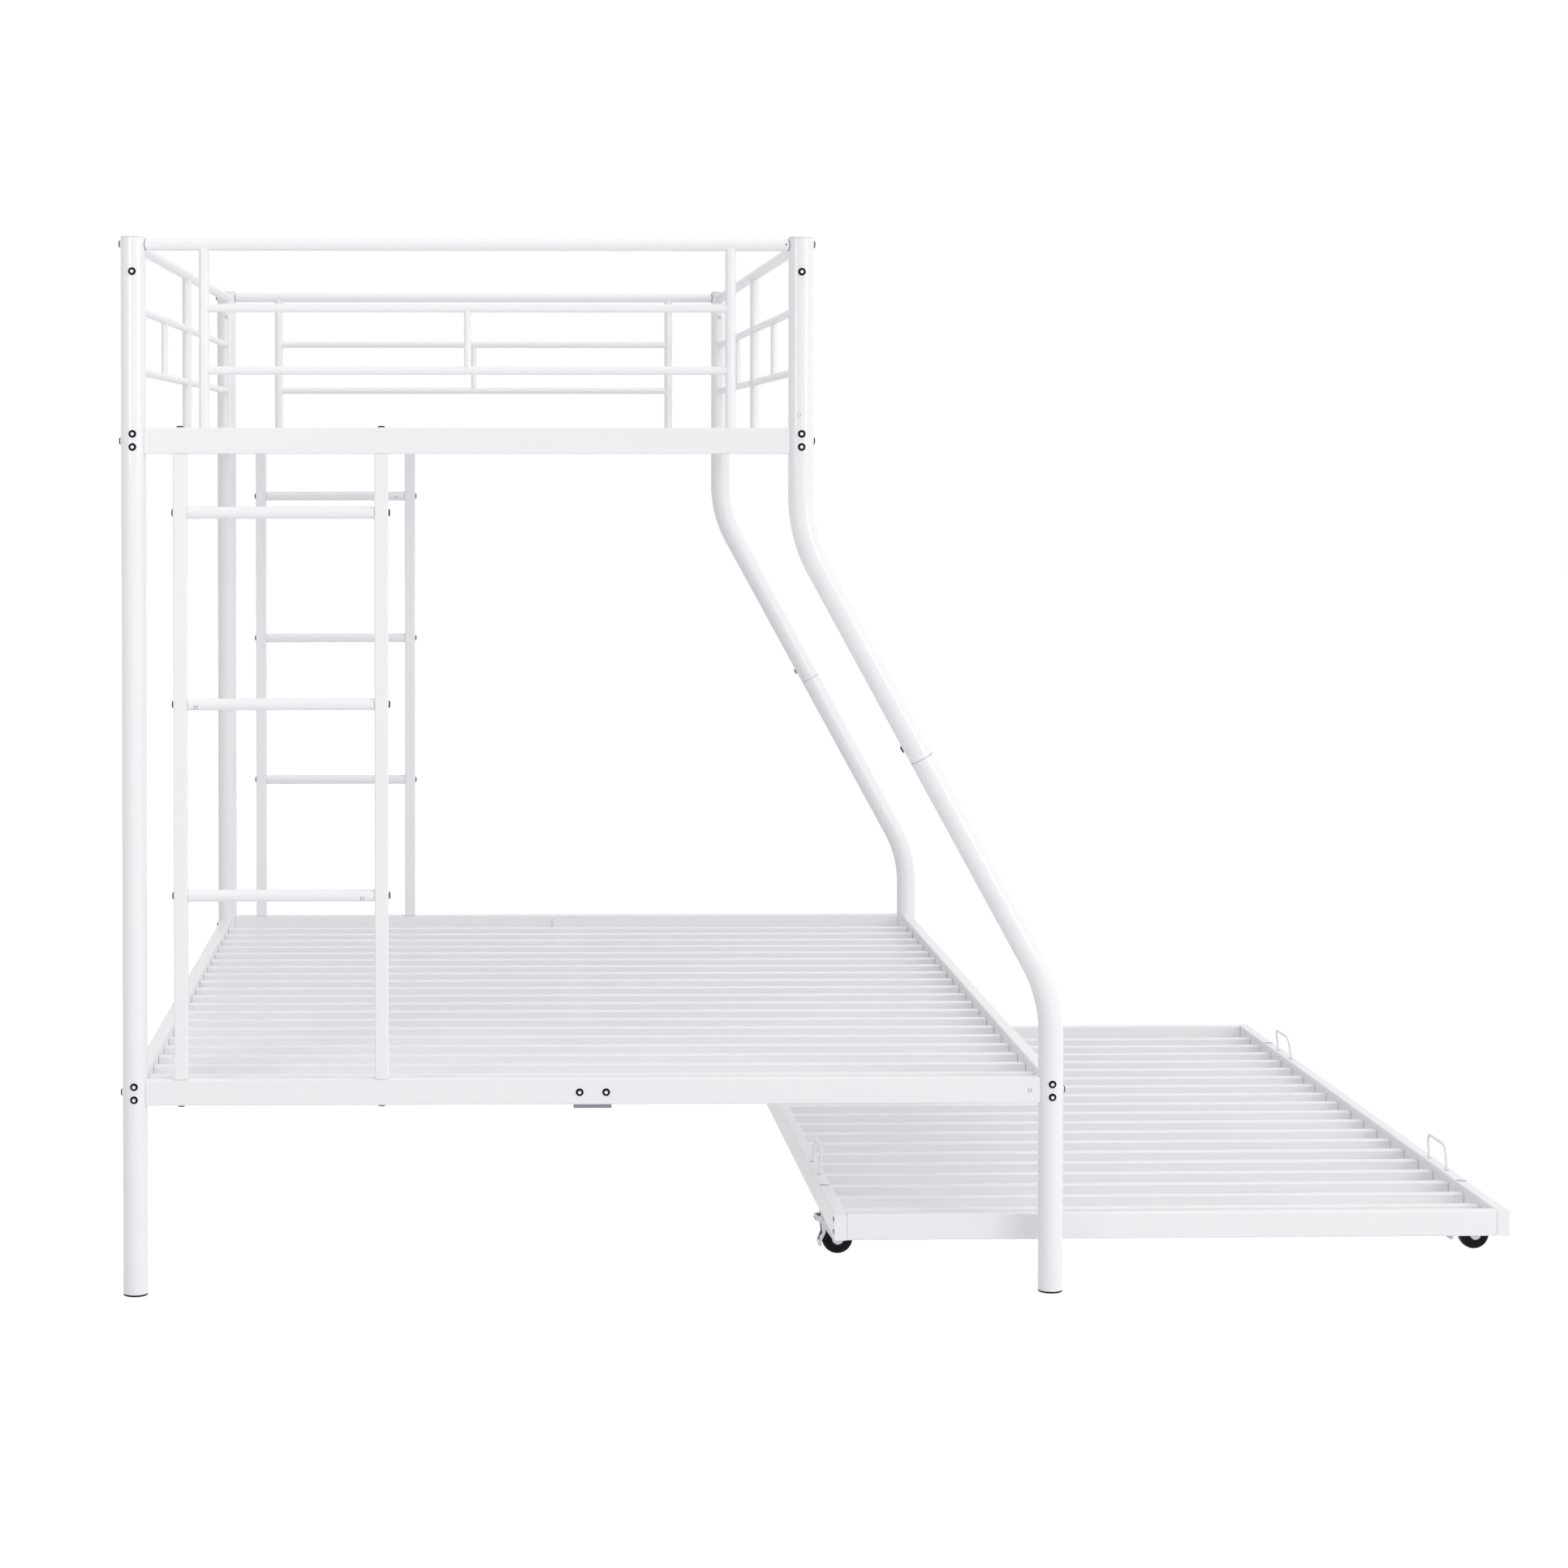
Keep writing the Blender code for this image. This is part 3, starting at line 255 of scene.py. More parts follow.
def make_materials(colours):
    """All finishes, by name."""
    gloss = {"Coat_Weight": 0.32, "Coat_Roughness": 0.12, "Coat_IOR": 2.0, "Specular_IOR_Level": 0.15}
    return {
        # Polyester powder coat, sprayed and baked: bright white, with the fine orange peel of melted powder
        "coat": material(
            "powder_coat", colours.coat, 0.0, 0.45, (2.4, 0.10, 0.03), drift=("#EEEEF0", 160.0), **gloss
        ),
        # Zinc plate, barrel plated: bright grey metal with fine cloudy brush marks
        "zinc": material(
            "zinc_plate", colours.zinc, 1.0, 0.26, (1.2, 0.15, 0.08),
            drift=("#9C9EA6", 3.0), stretch=(1.0, 1.0, 4.0),
        ),
        # The same plate, rough, made pale as a painted highlight: on the skirts and sockets of bolt heads and
        # on the brake pedal's lobes
        "bright": material("zinc_painted_highlight", colours.painted_highlight, 0.15, 0.55, (0.6, 0.10, 0.05)),
        # Near-black plate: painted dark reflection on the domed rims of bolt heads, and painted shade in the
        # pedal's gap, the vent slots and holes, the capped nuts' dimples and round the trundle screws' heads
        "dark": material("zinc_painted_dark", colours.painted_shade_and_reflection, 1.0, 0.34, (0.8, 0.10, 0.06)),
        # Bare drawn steel: long faint draw lines
        "steel": material(
            "drawn_steel", colours.steel, 1.0, 0.36, (0.9, 0.10, 0.08), stretch=(1.0, 1.0, 0.05)
        ),
        # Flat grey, slightly dusty: the outer skin of the folded bracket's back and the loops' collars, and
        # painted shade in the rings at the top tubes' ends, on the side of the near post's hole plug and on
        # the side of the castor sockets' heads
        "grey_and_painted_shade": material("grey_sheet_and_painted_shade", colours.bracket, 0.0, 0.50, (1.5, 0.10, 0.06)),
        # Black nylon, injection moulded: deep black with a soft sheen and faint flow marks
        "nylon": material(
            "black_nylon", colours.nylon, 0.0, 0.30, (1.6, 0.08, 0.05),
            drift=("#131316", 6.0), Specular_IOR_Level=0.12,
        ),
        # White polypropylene, injection moulded: smooth and a little waxy
        "plug": material(
            "white_polypropylene", colours.plug, 0.0, 0.36, (1.8, 0.06, 0.04), drift=("#EAEAEE", 8.0)
        ),
    }


FINISHES = {}


# Geometry Nodes trees


PROFILE = {
    "Width": "Float", "Height": "Float", "Corner": "Float", "Corner Steps": "Int", "Material": "Material"
}
SLAT_ROW = {"Count": "Int", "Offset": "Vector", "Left End": "Vector", "Right End": "Vector"}


def new_tree(name, inputs):
    """An empty Geometry Nodes tree with a geometry input, named inputs and a geometry output."""
    tree = bpy.data.node_groups.new(name, "GeometryNodeTree")
    for label, kind in {"Geometry": "Geometry", **inputs}.items():
        tree.interface.new_socket(label, in_out="INPUT", socket_type=f"NodeSocket{kind}")
    tree.interface.new_socket("Geometry", in_out="OUTPUT", socket_type="NodeSocketGeometry")
    return tree, add_node(tree, "NodeGroupInput").outputs


def end_tree(tree, geometry, finish):
    """Ends a tree in Realize Instances and Set Material."""
    real = add_node(tree, "GeometryNodeRealizeInstances", Geometry=geometry)
    smooth = add_node(tree, "GeometryNodeSetShadeSmooth", Geometry=real.outputs["Geometry"])
    coated = add_node(tree, "GeometryNodeSetMaterial", Geometry=smooth.outputs["Geometry"], Material=finish)
    add_node(tree, "NodeGroupOutput", Geometry=coated.outputs["Geometry"])


def swept(tree, curve, given, normals):
    """A closed tube along a curve: a rounded rectangle, or round where the corner is half the width."""
    outline = add_node(
        tree, "GeometryNodeCurvePrimitiveQuadrilateral", Width=given["Width"], Height=given["Height"]
    )
    profile = add_node(
        tree,
        "GeometryNodeFilletCurve",
        {"mode": "POLY"},
        Curve=outline.outputs["Curve"],
        Radius=given["Corner"],
        Count=given["Corner Steps"],
    )
    level = add_node(tree, "GeometryNodeSetCurveNormal", {"mode": normals}, Curve=curve)
    tube = add_node(
        tree,
        "GeometryNodeCurveToMesh",
        {"Fill Caps": True},
        Curve=level.outputs["Curve"],
        Profile_Curve=profile.outputs["Curve"],
    )
    return tube.outputs["Mesh"]


def tube_tree(name, normals):
    """Tubes along the edges of a mesh."""
    tree, given = new_tree(name, PROFILE)
    path = add_node(tree, "GeometryNodeMeshToCurve", Mesh=given["Geometry"])
    end_tree(tree, swept(tree, path.outputs["Curve"], given, normals), given["Material"])
    return tree


def slat_tree():
    """A row of equal slats across a deck, one behind the other."""
    tree, given = new_tree("row_of_slats", {**SLAT_ROW, **PROFILE})
    row = add_node(tree, "GeometryNodeMeshLine", Count=given["Count"], Offset=given["Offset"])
    line = add_node(tree, "GeometryNodeCurvePrimitiveLine", Start=given["Left End"], End=given["Right End"])
    slat = swept(tree, line.outputs["Curve"], given, "Z_UP")
    slats = add_node(tree, "GeometryNodeInstanceOnPoints", Points=row.outputs["Mesh"], Instance=slat)
    end_tree(tree, slats.outputs["Instances"], given["Material"])
    return tree


def copies_tree():
    """Copies of an object's mesh at a mesh's points, each turned by the point's own angles."""
    tree, given = new_tree("copies_at_places", {"Object": "Object"})
    source = add_node(tree, "GeometryNodeObjectInfo", Object=given["Object"])
    stored = {"data_type": "FLOAT_VECTOR", "Name": "angles"}
    angles = add_node(tree, "GeometryNodeInputNamedAttribute", stored)
    turn = add_node(tree, "FunctionNodeEulerToRotation", Euler=angles.outputs["Attribute"])
    placed = add_node(
        tree,
        "GeometryNodeInstanceOnPoints",
        Points=given["Geometry"],
        Instance=source.outputs["Geometry"],
        Rotation=turn.outputs["Rotation"],
    )
    real = add_node(tree, "GeometryNodeRealizeInstances", Geometry=placed.outputs["Instances"])
    add_node(tree, "NodeGroupOutput", Geometry=real.outputs["Geometry"])
    return tree


TREES = {}


def grown(tree_name, start, values):
    """The plain mesh that a tree makes from a starting mesh."""
    tree = TREES[tree_name]
    holder = bpy.data.objects.new("holder", start)
    bpy.context.scene.collection.objects.link(holder)
    step = holder.modifiers.new("step", "NODES")
    step.node_group = tree
    for socket in tree.interface.items_tree:
        if socket.in_out == "INPUT" and socket.name in values:
            step[socket.identifier] = values[socket.name]
    depsgraph = bpy.context.evaluated_depsgraph_get()
    mesh = bpy.data.meshes.new_from_object(holder.evaluated_get(depsgraph), depsgraph=depsgraph)
    bpy.data.objects.remove(holder)
    return mesh


# Mesh helpers


ROUND_STEPS = 8
FINE_STEPS = 12
EDGE_STEPS = 3
SMOOTH_ANGLE = math.radians(40.0)
ON_PLACE = 1e-4


def lines(paths):
    """A mesh of open lines, one for each path of points."""
    points, edges = [], []
    for path in paths:
        edges += [(len(points) + i, len(points) + i + 1) for i in range(len(path) - 1)]
        points += [tuple(point) for point in path]
    mesh = bpy.data.meshes.new("paths")
    mesh.from_pydata(points, edges, [])
    return mesh


def round_tubes(paths, radius, finish="coat", steps=FINE_STEPS):
    """Round tubes along paths. The corner stays a hair under half the width, so that no side vanishes."""
    values = {"Width": 2 * radius, "Height": 2 * radius, "Corner": radius * 0.999, "Corner Steps": steps}
    return grown("round_tubes", lines(paths), {**values, "Material": FINISHES[finish]})


def flat_tubes(paths, width, height, corner):
    """Rectangular tubes along paths, with rounded edges."""
    values = {"Width": width, "Height": height, "Corner": corner, "Corner Steps": EDGE_STEPS}
    return grown("flat_tubes", lines(paths), {**values, "Material": FINISHES["coat"]})


def rail_tubes(sizes, paths):
    """Lengths of the rectangular rail."""
    return flat_tubes(paths, sizes.rail_width, sizes.rail_height, sizes.rail_corner)


def cope(mesh, axis, posts, radius, start=0.0, shy=0.0):
    """Cuts the ends of level tubes round upright posts. An end lies at the start from its post's axis."""
    other = 1 - axis
    for vertex in mesh.vertices:
        for place, inward in posts:
            if abs(vertex.co[axis] - place[axis] - inward * start) < ON_PLACE:
                aside = vertex.co[other] - place[other]
                vertex.co[axis] = place[axis] + inward * (math.sqrt(max(radius**2 - aside**2, 0.0)) - shy)
                break


def ended(body, finishes):
    """An edited mesh as a plain one with these materials."""
    mesh = bpy.data.meshes.new("part")
    body.to_mesh(mesh)
    body.free()
    for finish in finishes:
        mesh.materials.append(finish)
    return mesh


def spun(profile, sides, finishes, split=()):
    """A profile of (radius, height) points spun about Z, whose finish changes at each split."""
    body = bmesh.new()
    rings = []
    for radius, height in profile:
        if radius < 1e-6:
            rings.append([body.verts.new((0.0, 0.0, height))])
            continue
        turns = [2 * math.pi * i / sides for i in range(sides)]
        rings.append([body.verts.new((radius * math.cos(a), radius * math.sin(a), height)) for a in turns])
    for number, (first, second) in enumerate(zip(rings, rings[1:])):
        for i in range(sides):
            quad = [(first, i), (first, i + 1), (second, i + 1), (second, i)]
            corners = [ring[place % sides % len(ring)] for ring, place in quad]
            face = body.faces.new(list(dict.fromkeys(corners)))
            face.material_index = sum(number >= change for change in split)
    if len(rings[0]) > 1:
        body.faces.new(reversed(rings[0]))
    if len(rings[-1]) > 1:
        body.faces.new(rings[-1])
    bmesh.ops.recalc_face_normals(body, faces=body.faces)
    return ended(body, [FINISHES[finish] for finish in finishes])


def softened(body, offset, **more):
    """Rounds all edges of an edited mesh."""
    bmesh.ops.bevel(
        body, geom=body.edges[:], offset=offset, segments=2, profile=0.5, affect="EDGES", **more
    )


def sheet(outline, thickness, finish, bevel):
    """A closed outline of (x, z) points given a thickness along Y, centred on it."""
    body = bmesh.new()
    near, far = ([body.verts.new((x, y, z)) for x, z in outline] for y in (-thickness / 2, thickness / 2))
    body.faces.new(near)
    body.faces.new(reversed(far))
    for i in range(len(outline)):
        j = (i + 1) % len(outline)
        body.faces.new((near[j], near[i], far[i], far[j]))
    bmesh.ops.recalc_face_normals(body, faces=body.faces)
    softened(body, bevel, clamp_overlap=True)
    return ended(body, [FINISHES[finish]])


def block(low, high, finish, bevel):
    """A block with rounded edges."""
    low, high = Vector(low), Vector(high)
    body = bmesh.new()
    size = Matrix.Diagonal((*(high - low), 1.0))
    bmesh.ops.create_cube(body, size=1.0, matrix=Matrix.Translation((low + high) / 2) @ size)
    softened(body, bevel)
    return ended(body, [FINISHES[finish]])


def moved(mesh, matrix):
    """The mesh, moved by a matrix."""
    mesh.transform(matrix)
    return mesh


def shifted(mesh, x=0.0, y=0.0, z=0.0):
    """The mesh, moved along the axes."""
    return moved(mesh, Matrix.Translation((x, y, z)))


def facing(point, direction):
    """A matrix that stands a thing modelled along +Z at a point, facing a direction."""
    return Matrix.Translation(point) @ Vector(direction).to_track_quat("Z", "Y").to_matrix().to_4x4()


def copies(mesh, places):
    """Copies of a mesh at places given as matrices, as one mesh."""
    source = bpy.data.objects.new("source", mesh)
    bpy.context.scene.collection.objects.link(source)
    points = bpy.data.meshes.new("places")
    points.from_pydata([tuple(place.translation) for place in places], [], [])
    angles = points.attributes.new("angles", "FLOAT_VECTOR", "POINT")
    for item, place in zip(angles.data, places):
        item.vector = place.to_euler()
    result = grown("copies", points, {"Object": source})
    bpy.data.objects.remove(source)
    return result


def joined(meshes):
    """Several meshes as one, with each finish listed once."""
    finishes = []
    body = bmesh.new()
    for mesh in meshes:
        start = len(body.faces)
        body.from_mesh(mesh)
        body.faces.ensure_lookup_table()
        finishes = list(dict.fromkeys((*finishes, *mesh.materials)))
        for face in body.faces[start:]:
            face.material_index = finishes.index(mesh.materials[face.material_index])
    return ended(body, finishes)


def piece(name, meshes, body, replaced=()):
    """The finished piece: one object at the origin that rides on a body."""
    mesh = joined(meshes)
    mesh.name = name
    mesh.shade_smooth()
    mesh.set_sharp_from_angle(angle=SMOOTH_ANGLE)
    item = bpy.data.objects.new(name, mesh)
    bpy.context.scene.collection.objects.link(item)
    even = item.modifiers.new("even_normals", "WEIGHTED_NORMAL")
    even.keep_sharp = True
    depsgraph = bpy.context.evaluated_depsgraph_get()
    item.data = bpy.data.meshes.new_from_object(item.evaluated_get(depsgraph), depsgraph=depsgraph)
    item.modifiers.clear()
    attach(item, body)
    if replaced:
        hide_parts(*replaced)


def dress(node, kind, *meshes, body="bunk", slot="white_powder_coat"):
    """The finished piece that takes one node's place and name."""
    piece(f"{node}_{kind}", meshes, body, [node])


def rounded_path(corners, radius, steps):
    """A path through its corner points, with an arc of the radius given at each inner corner."""
    corners = [Vector(corner) for corner in corners]
    path = [corners[0]]
    for before, corner, after in zip(corners, corners[1:], corners[2:]):
        into, out = (corner - before).normalized(), (after - corner).normalized()
        turn = into.angle(out)
        centre = corner + (out - into).normalized() * radius / math.cos(turn / 2)
        start = corner - into * radius * math.tan(turn / 2) - centre
        axis = into.cross(out).normalized()
        path += [centre + Matrix.Rotation(turn * k / steps, 3, axis) @ start for k in range(steps + 1)]
    return [*path, corners[-1]]


# Pieces of the bunk


BEND_STEPS = 20
# Sides of the spun pieces
MOULDED_SIDES = 64
STEM_SIDES = 32
HEAD_SIDES = 24
PLUG_SIDES = 20
PIN_SIDES = 16
HOLE_SIDES = 12
SLOT_SIDES = 10
FOOT_RIBS = 4
RIB_PITCH = 0.0045
RIB_DEPTH = 0.0008
CAP_SKIRT = 0.0080
GAP_SHADE_SHY = 0.0002
CENTRE_BAR_CORNER = 0.0020


def post_nodes(kind):
    """The four nodes of a kind that are fitted to the posts."""
    return [f"{kind}_{end}_{side}" for end in ENDS for side in ("left", "right")]


def right_post_points(sizes, end):
    """The cranked post's foot, lower bend, seam, upper bend and top."""
    y = ENDS[end]
    lower = Vector((LOWER_X, y, sizes.lower_bend))
    upper = Vector((UPPER_X, y, sizes.upper_bend))
    seam = lower.lerp(upper, sizes.seam_share)
    return Vector((LOWER_X, y, POST_BOTTOM)), lower, seam, upper, Vector((UPPER_X, y, POST_TOP))


class MakePosts(bpy.types.Operator):
    """Makes the posts, their black feet and their white caps"""

    bl_idname = "bunk_bed.make_posts"
    bl_label = "Posts"

    def execute(self, context):
        sizes = context.scene.bed_sizes
        for end, y in ENDS.items():
            foot, lower, seam, upper, top = right_post_points(sizes, end)
            half_gap = (upper - lower).normalized() * sizes.seam_gap / 2
            for node, path in (
                (f"post_{end}_left", [(LEFT_X, y, POST_BOTTOM), (LEFT_X, y, POST_TOP)]),
                (f"lower_post_{end}_right", [foot, lower, seam - half_gap]),
                (f"upper_post_{end}_right", [seam + half_gap, upper, top]),
            ):
                if len(path) > 2:
                    path = rounded_path(path, sizes.bend_radius, BEND_STEPS)
                dress(node, "tube", round_tubes([path], sizes.post_radius))
            frame["nodes"][f"post_joint_sleeve_{end}"].data.materials[0] = FINISHES["steel"]
        make_feet(sizes.post_radius)
        make_caps(sizes.post_radius)
        return {"FINISHED"}


def make_feet(radius):
    """Black moulded feet: a rim with a rounded lower edge, and a ribbed plug up the bore."""
    rim, plug = POST_BOTTOM - 0.0003, radius - 0.0020
    for node in post_nodes("foot"):
        _, place, high = span(node)
        profile = [(0.0, 0.0), (radius - 0.0012, 0.0), (radius - 0.0004, 0.0004), (radius, 0.0012)]
        profile += [(radius, rim - 0.0003), (radius - 0.0003, rim), (plug, rim)]
        for rib in range(FOOT_RIBS):
            z = rim + 0.0030 + rib * RIB_PITCH
            profile += [(plug - RIB_DEPTH, z), (plug, z + 0.0010)]
            profile += [(plug, z + 0.0020), (plug - RIB_DEPTH, z + 0.0030)]
        profile += [(plug - 0.0020, high.z), (0.0, high.z)]
        mesh = shifted(spun(profile, MOULDED_SIDES, ["nylon"]), place.x, place.y)
        dress(node, "moulding", mesh, slot="black_nylon")


def make_caps(radius):
    """White moulded caps: a low crowned top with a rounded edge."""
    skirt = radius - 0.0030
    profile = [(0.0, POST_TOP - CAP_SKIRT), (skirt, POST_TOP - CAP_SKIRT), (skirt, POST_TOP)]
    profile += [(radius - 0.0007, POST_TOP + 0.0002), (radius - 0.0002, POST_TOP + 0.0008)]
    for turn in (math.radians(22.5 * k) for k in range(5)):
        reach = radius - 0.0014 + 0.0014 * math.cos(turn)
        profile.append((reach, BED_TOP - 0.0013 + 0.0012 * math.sin(turn)))
    profile += [(radius * 0.5, BED_TOP), (0.0, BED_TOP)]
    for node in post_nodes("post_cap"):
        place = middle(node)
        mesh = shifted(spun(profile, MOULDED_SIDES, ["plug"]), place.x, place.y)
        dress(node, "moulding", mesh, slot="white_plastic")


class MakeUpperRails(bpy.types.Operator):
    """Makes the end panels and side guards of the upper bed"""

    bl_idname = "bunk_bed.make_upper_rails"
    bl_label = "End panels and guards"

    def execute(self, context):
        sizes = context.scene.bed_sizes
        top = BED_TOP - sizes.top_drop
        clear = sizes.post_radius + sizes.cope_gap
        thin = (sizes.thin_low, sizes.thin_high)
        left, right = LEFT_X + sizes.upright_inset, UPPER_X - sizes.upright_inset
        for end, y in ENDS.items():
            posts = [((LEFT_X, y), 1.0), ((UPPER_X, y), -1.0)]
            half = (LEFT_X + UPPER_X) / 2
            top_tube = round_tubes([[(LEFT_X, y, top), (UPPER_X, y, top)]], sizes.top_radius)
            rail = rail_tubes(sizes, [[(LEFT_X, y, UPPER_RAIL_MID), (UPPER_X, y, UPPER_RAIL_MID)]])
            cope(rail, 0, posts, clear)
            cope(top_tube, 0, posts, clear + sizes.gap_shade_thickness)
            tall = [[(x, y, UPPER_RAIL_TOP - 0.002), (x, y, top)] for x in (left, right)]
            thin_rails = [[(left, y, z), (right, y, z)] for z in thin]
            dress(
                f"upper_end_panel_{end}",
                "welded",
                top_tube,
                rail,
                round_tubes(tall, sizes.tall_radius, steps=ROUND_STEPS),
                round_tubes(thin_rails, sizes.thin_radius, steps=ROUND_STEPS),
                round_tubes([[(half, y, z) for z in thin]], sizes.short_radius, steps=ROUND_STEPS),
                gap_shade_rings(posts, top, sizes),
            )
        front, rear = ENDS.values()
        for side, x in (("left", LEFT_X), ("right", UPPER_X)):
            posts = [((x, front), 1.0), ((x, rear), -1.0)]
            half = (front + rear) / 2
            top_tube = round_tubes([[(x, front, top), (x, rear, top)]], sizes.top_radius)
            thin_rails = [[(x, front, z), (x, rear, z)] for z in thin]
            thin_rails = round_tubes(thin_rails, sizes.thin_radius, steps=ROUND_STEPS)
            for mesh in (top_tube, thin_rails):
                cope(mesh, 1, posts, clear)
            tall = [(x, half, UPPER_RAIL_TOP + 0.0003), (x, half, top)]
            short = [[(x, y, z) for z in thin] for y in (front + sizes.short_inset, rear - sizes.short_inset)]
            dress(
                f"upper_guard_{side}",
                "welded",
                top_tube,
                thin_rails,
                round_tubes([tall], sizes.tall_radius, steps=ROUND_STEPS),
                round_tubes(short, sizes.short_radius, steps=ROUND_STEPS),
            )
        return {"FINISHED"}


def gap_shade_rings(posts, height, sizes):
    """Grey rings in the gaps between a panel's top tube and its two posts: painted shade for the dark inside
    seen through each gap.
    """
    reach = sizes.post_radius * 2
    paths = [[(x, y, height), (x + inward * reach, y, height)] for (x, y), inward in posts]
    rings = round_tubes(paths, sizes.top_radius - GAP_SHADE_SHY, "grey_and_painted_shade")
    cope(rings, 0, posts, sizes.post_radius + GAP_SHADE_SHY)
    outer = sizes.post_radius + sizes.cope_gap + sizes.gap_shade_thickness
    cope(rings, 0, posts, outer, start=reach, shy=GAP_SHADE_SHY)
    return rings


def deck(sizes, sides, ends, top, row, coped):
    """Two side rails and a row of slats between them, in the deck's own frame."""
    slats, pitch, drop = row
    rail_mid = top - sizes.rail_height / 2
    front, rear = ends
    rails = rail_tubes(sizes, [[(x, front, rail_mid), (x, rear, rail_mid)] for x in sides])
    if coped:
        posts = [((x, y), inward) for x in sides for y, inward in ((front, 1.0), (rear, -1.0))]
        cope(rails, 1, posts, sizes.post_radius + sizes.cope_gap)
    inset = sizes.rail_width / 2 + sizes.slat_gap
    first = (front + rear - (slats - 1) * pitch) / 2
    slat_mid = top - drop - sizes.slat_size / 2
    values = {
        "Count": slats,
        "Offset": (0.0, pitch, 0.0),
        "Left End": (sides[0] + inset, first, slat_mid),
        "Right End": (sides[1] - inset, first, slat_mid),
        "Width": sizes.slat_size,
        "Height": sizes.slat_size,
        "Corner": sizes.slat_corner,
        "Corner Steps": EDGE_STEPS,
        "Material": FINISHES["coat"],
    }
    return [rails, grown("slats", lines([]), values)]


class MakeDecks(bpy.types.Operator):
    """Makes the slatted decks, the lower end rails and the centre bar of the bunk"""

    bl_idname = "bunk_bed.make_decks"
    bl_label = "Slatted decks"

    def execute(self, context):
        sizes = context.scene.bed_sizes
        row = (sizes.slats, sizes.slat_pitch, sizes.slat_drop)
        for level, right, top in (("upper", UPPER_X, UPPER_RAIL_TOP), ("lower", LOWER_X, LOWER_RAIL_TOP)):
            meshes = deck(sizes, (LEFT_X, right), ENDS.values(), top, row, coped=True)
            dress(f"{level}_deck_frame", "welded", *meshes)
        for end, y in ENDS.items():
            rail = rail_tubes(sizes, [[(LEFT_X, y, LOWER_RAIL_MID), (LOWER_X, y, LOWER_RAIL_MID)]])
            posts = [((LEFT_X, y), 1.0), ((LOWER_X, y), -1.0)]
            cope(rail, 0, posts, sizes.post_radius + sizes.cope_gap)
            dress(f"lower_end_rail_{end}", "tube", rail)
        low, mid, high = span("centre_support_bar")
        path = [(mid.x, low.y, mid.z), (mid.x, high.y, mid.z)]
        bar = flat_tubes([path], high.x - low.x, high.z - low.z, CENTRE_BAR_CORNER)
        dress("centre_support_bar", "tube", bar)
        for end in ENDS:
            make_bracket(end)
        return {"FINISHED"}


def make_bracket(end):
    """The centre bar's folded bracket, its back made of two skins: grey outside, where it lies against the
    end rail, and white coat inside.
    """
    thick, corner, bevel = 0.0020, 0.0016, 0.0004
    node = f"centre_bar_bracket_{end}"
    low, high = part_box(node)
    back_y = low.y if end == "front" else high.y
    inward = -OUTWARD[end]
    foot = low.z - thick
    outline = [(low.x, high.z)]
    for side, start in ((low.x + corner, 180.0), (high.x - corner, 270.0)):
        for turn in (math.radians(start + 22.5 * k) for k in range(5)):
            outline.append((side + corner * math.cos(turn), foot + corner + corner * math.sin(turn)))
    outline.append((high.x, high.z))
    skin = thick / 2
    back = [
        shifted(sheet(outline, skin, finish, 0.0003), y=back_y + inward * depth)
        for finish, depth in (("grey_and_painted_shade", skin / 2), ("coat", thick - skin / 2))
    ]
    near, far = sorted((back_y + inward * thick / 2, back_y + inward * (high.y - low.y)))
    shelf = block((low.x + corner, near, foot), (high.x - corner, far, foot + thick), "coat", bevel)
    lips = [
        block((x, near, foot), (x + thick, far, low.z + 0.008), "coat", bevel)
        for x in (low.x + corner, high.x - corner - thick)
    ]
    dress(node, "folded", *back, shelf, *lips, slot="zinc_plate")


class MakeLadders(bpy.types.Operator):
    """Makes the stiles and rungs of both ladders"""

    bl_idname = "bunk_bed.make_ladders"
    bl_label = "Ladders"

    def execute(self, context):
        sizes = context.scene.bed_sizes
        for end in ENDS:
            for side in ("left", "right"):
                node = f"ladder_{end}_stile_{side}"
                low, mid, high = span(node)
                path = [(mid.x, mid.y, low.z), (mid.x, mid.y, high.z)]
                dress(node, "tube", flat_tubes([path], high.y - low.y, high.x - low.x, sizes.rail_corner))
            for number in RUNGS:
                node = f"ladder_{end}_rung_{number}"
                low, mid, high = span(node)
                path = [(low.x, mid.y, mid.z), (high.x, mid.y, mid.z)]
                dress(node, "tube", round_tubes([path], (high.z - low.z) / 2))
        return {"FINISHED"}


END_BOLT_DROPS = (0.0093, 0.0293)
SIDE_BOLT_DROP = 0.0200
GUARD_END_BOLT_DROP = 0.0545
GUARD_SIDE_BOLT_DROP = 0.0120
SEAM_BOLT_STEP = 0.026
BRACKET_BOLT_DROP = 0.0207
BRACKET_BOLT_STEP = 0.0204


def bolt_head(sizes):
    """A button head with a hexagon socket: its domed rim near-black as a painted dark reflection, its skirt
    and socket pale as a painted highlight.
    """
    radius, height, socket = sizes.head_radius, sizes.head_height, sizes.socket_radius
    floor = height - sizes.socket_depth
    profile = [(radius * 0.96, -0.0010), (radius * 0.96, 0.0004), (radius, 0.0008), (radius * 0.97, 0.0014)]
    profile += [(radius * 0.86, height * 0.70), (radius * 0.70, height * 0.93), (socket, height)]
    profile += [(socket * 0.98, floor), (0.0, floor)]
    # Skirt and socket in painted highlight, the dome between them in painted dark reflection
    head = spun(profile, HEAD_SIDES, ["bright", "dark", "bright"], split=(2, 6))
    sixth = math.pi / 3
    for vertex in head.vertices:
        reach = math.hypot(vertex.co.x, vertex.co.y)
        if 0.0 < reach < socket * 1.001:
            turn = math.atan2(vertex.co.y, vertex.co.x) % sixth - sixth / 2
            vertex.co.xy *= math.cos(sixth / 2) / math.cos(turn)
    return head


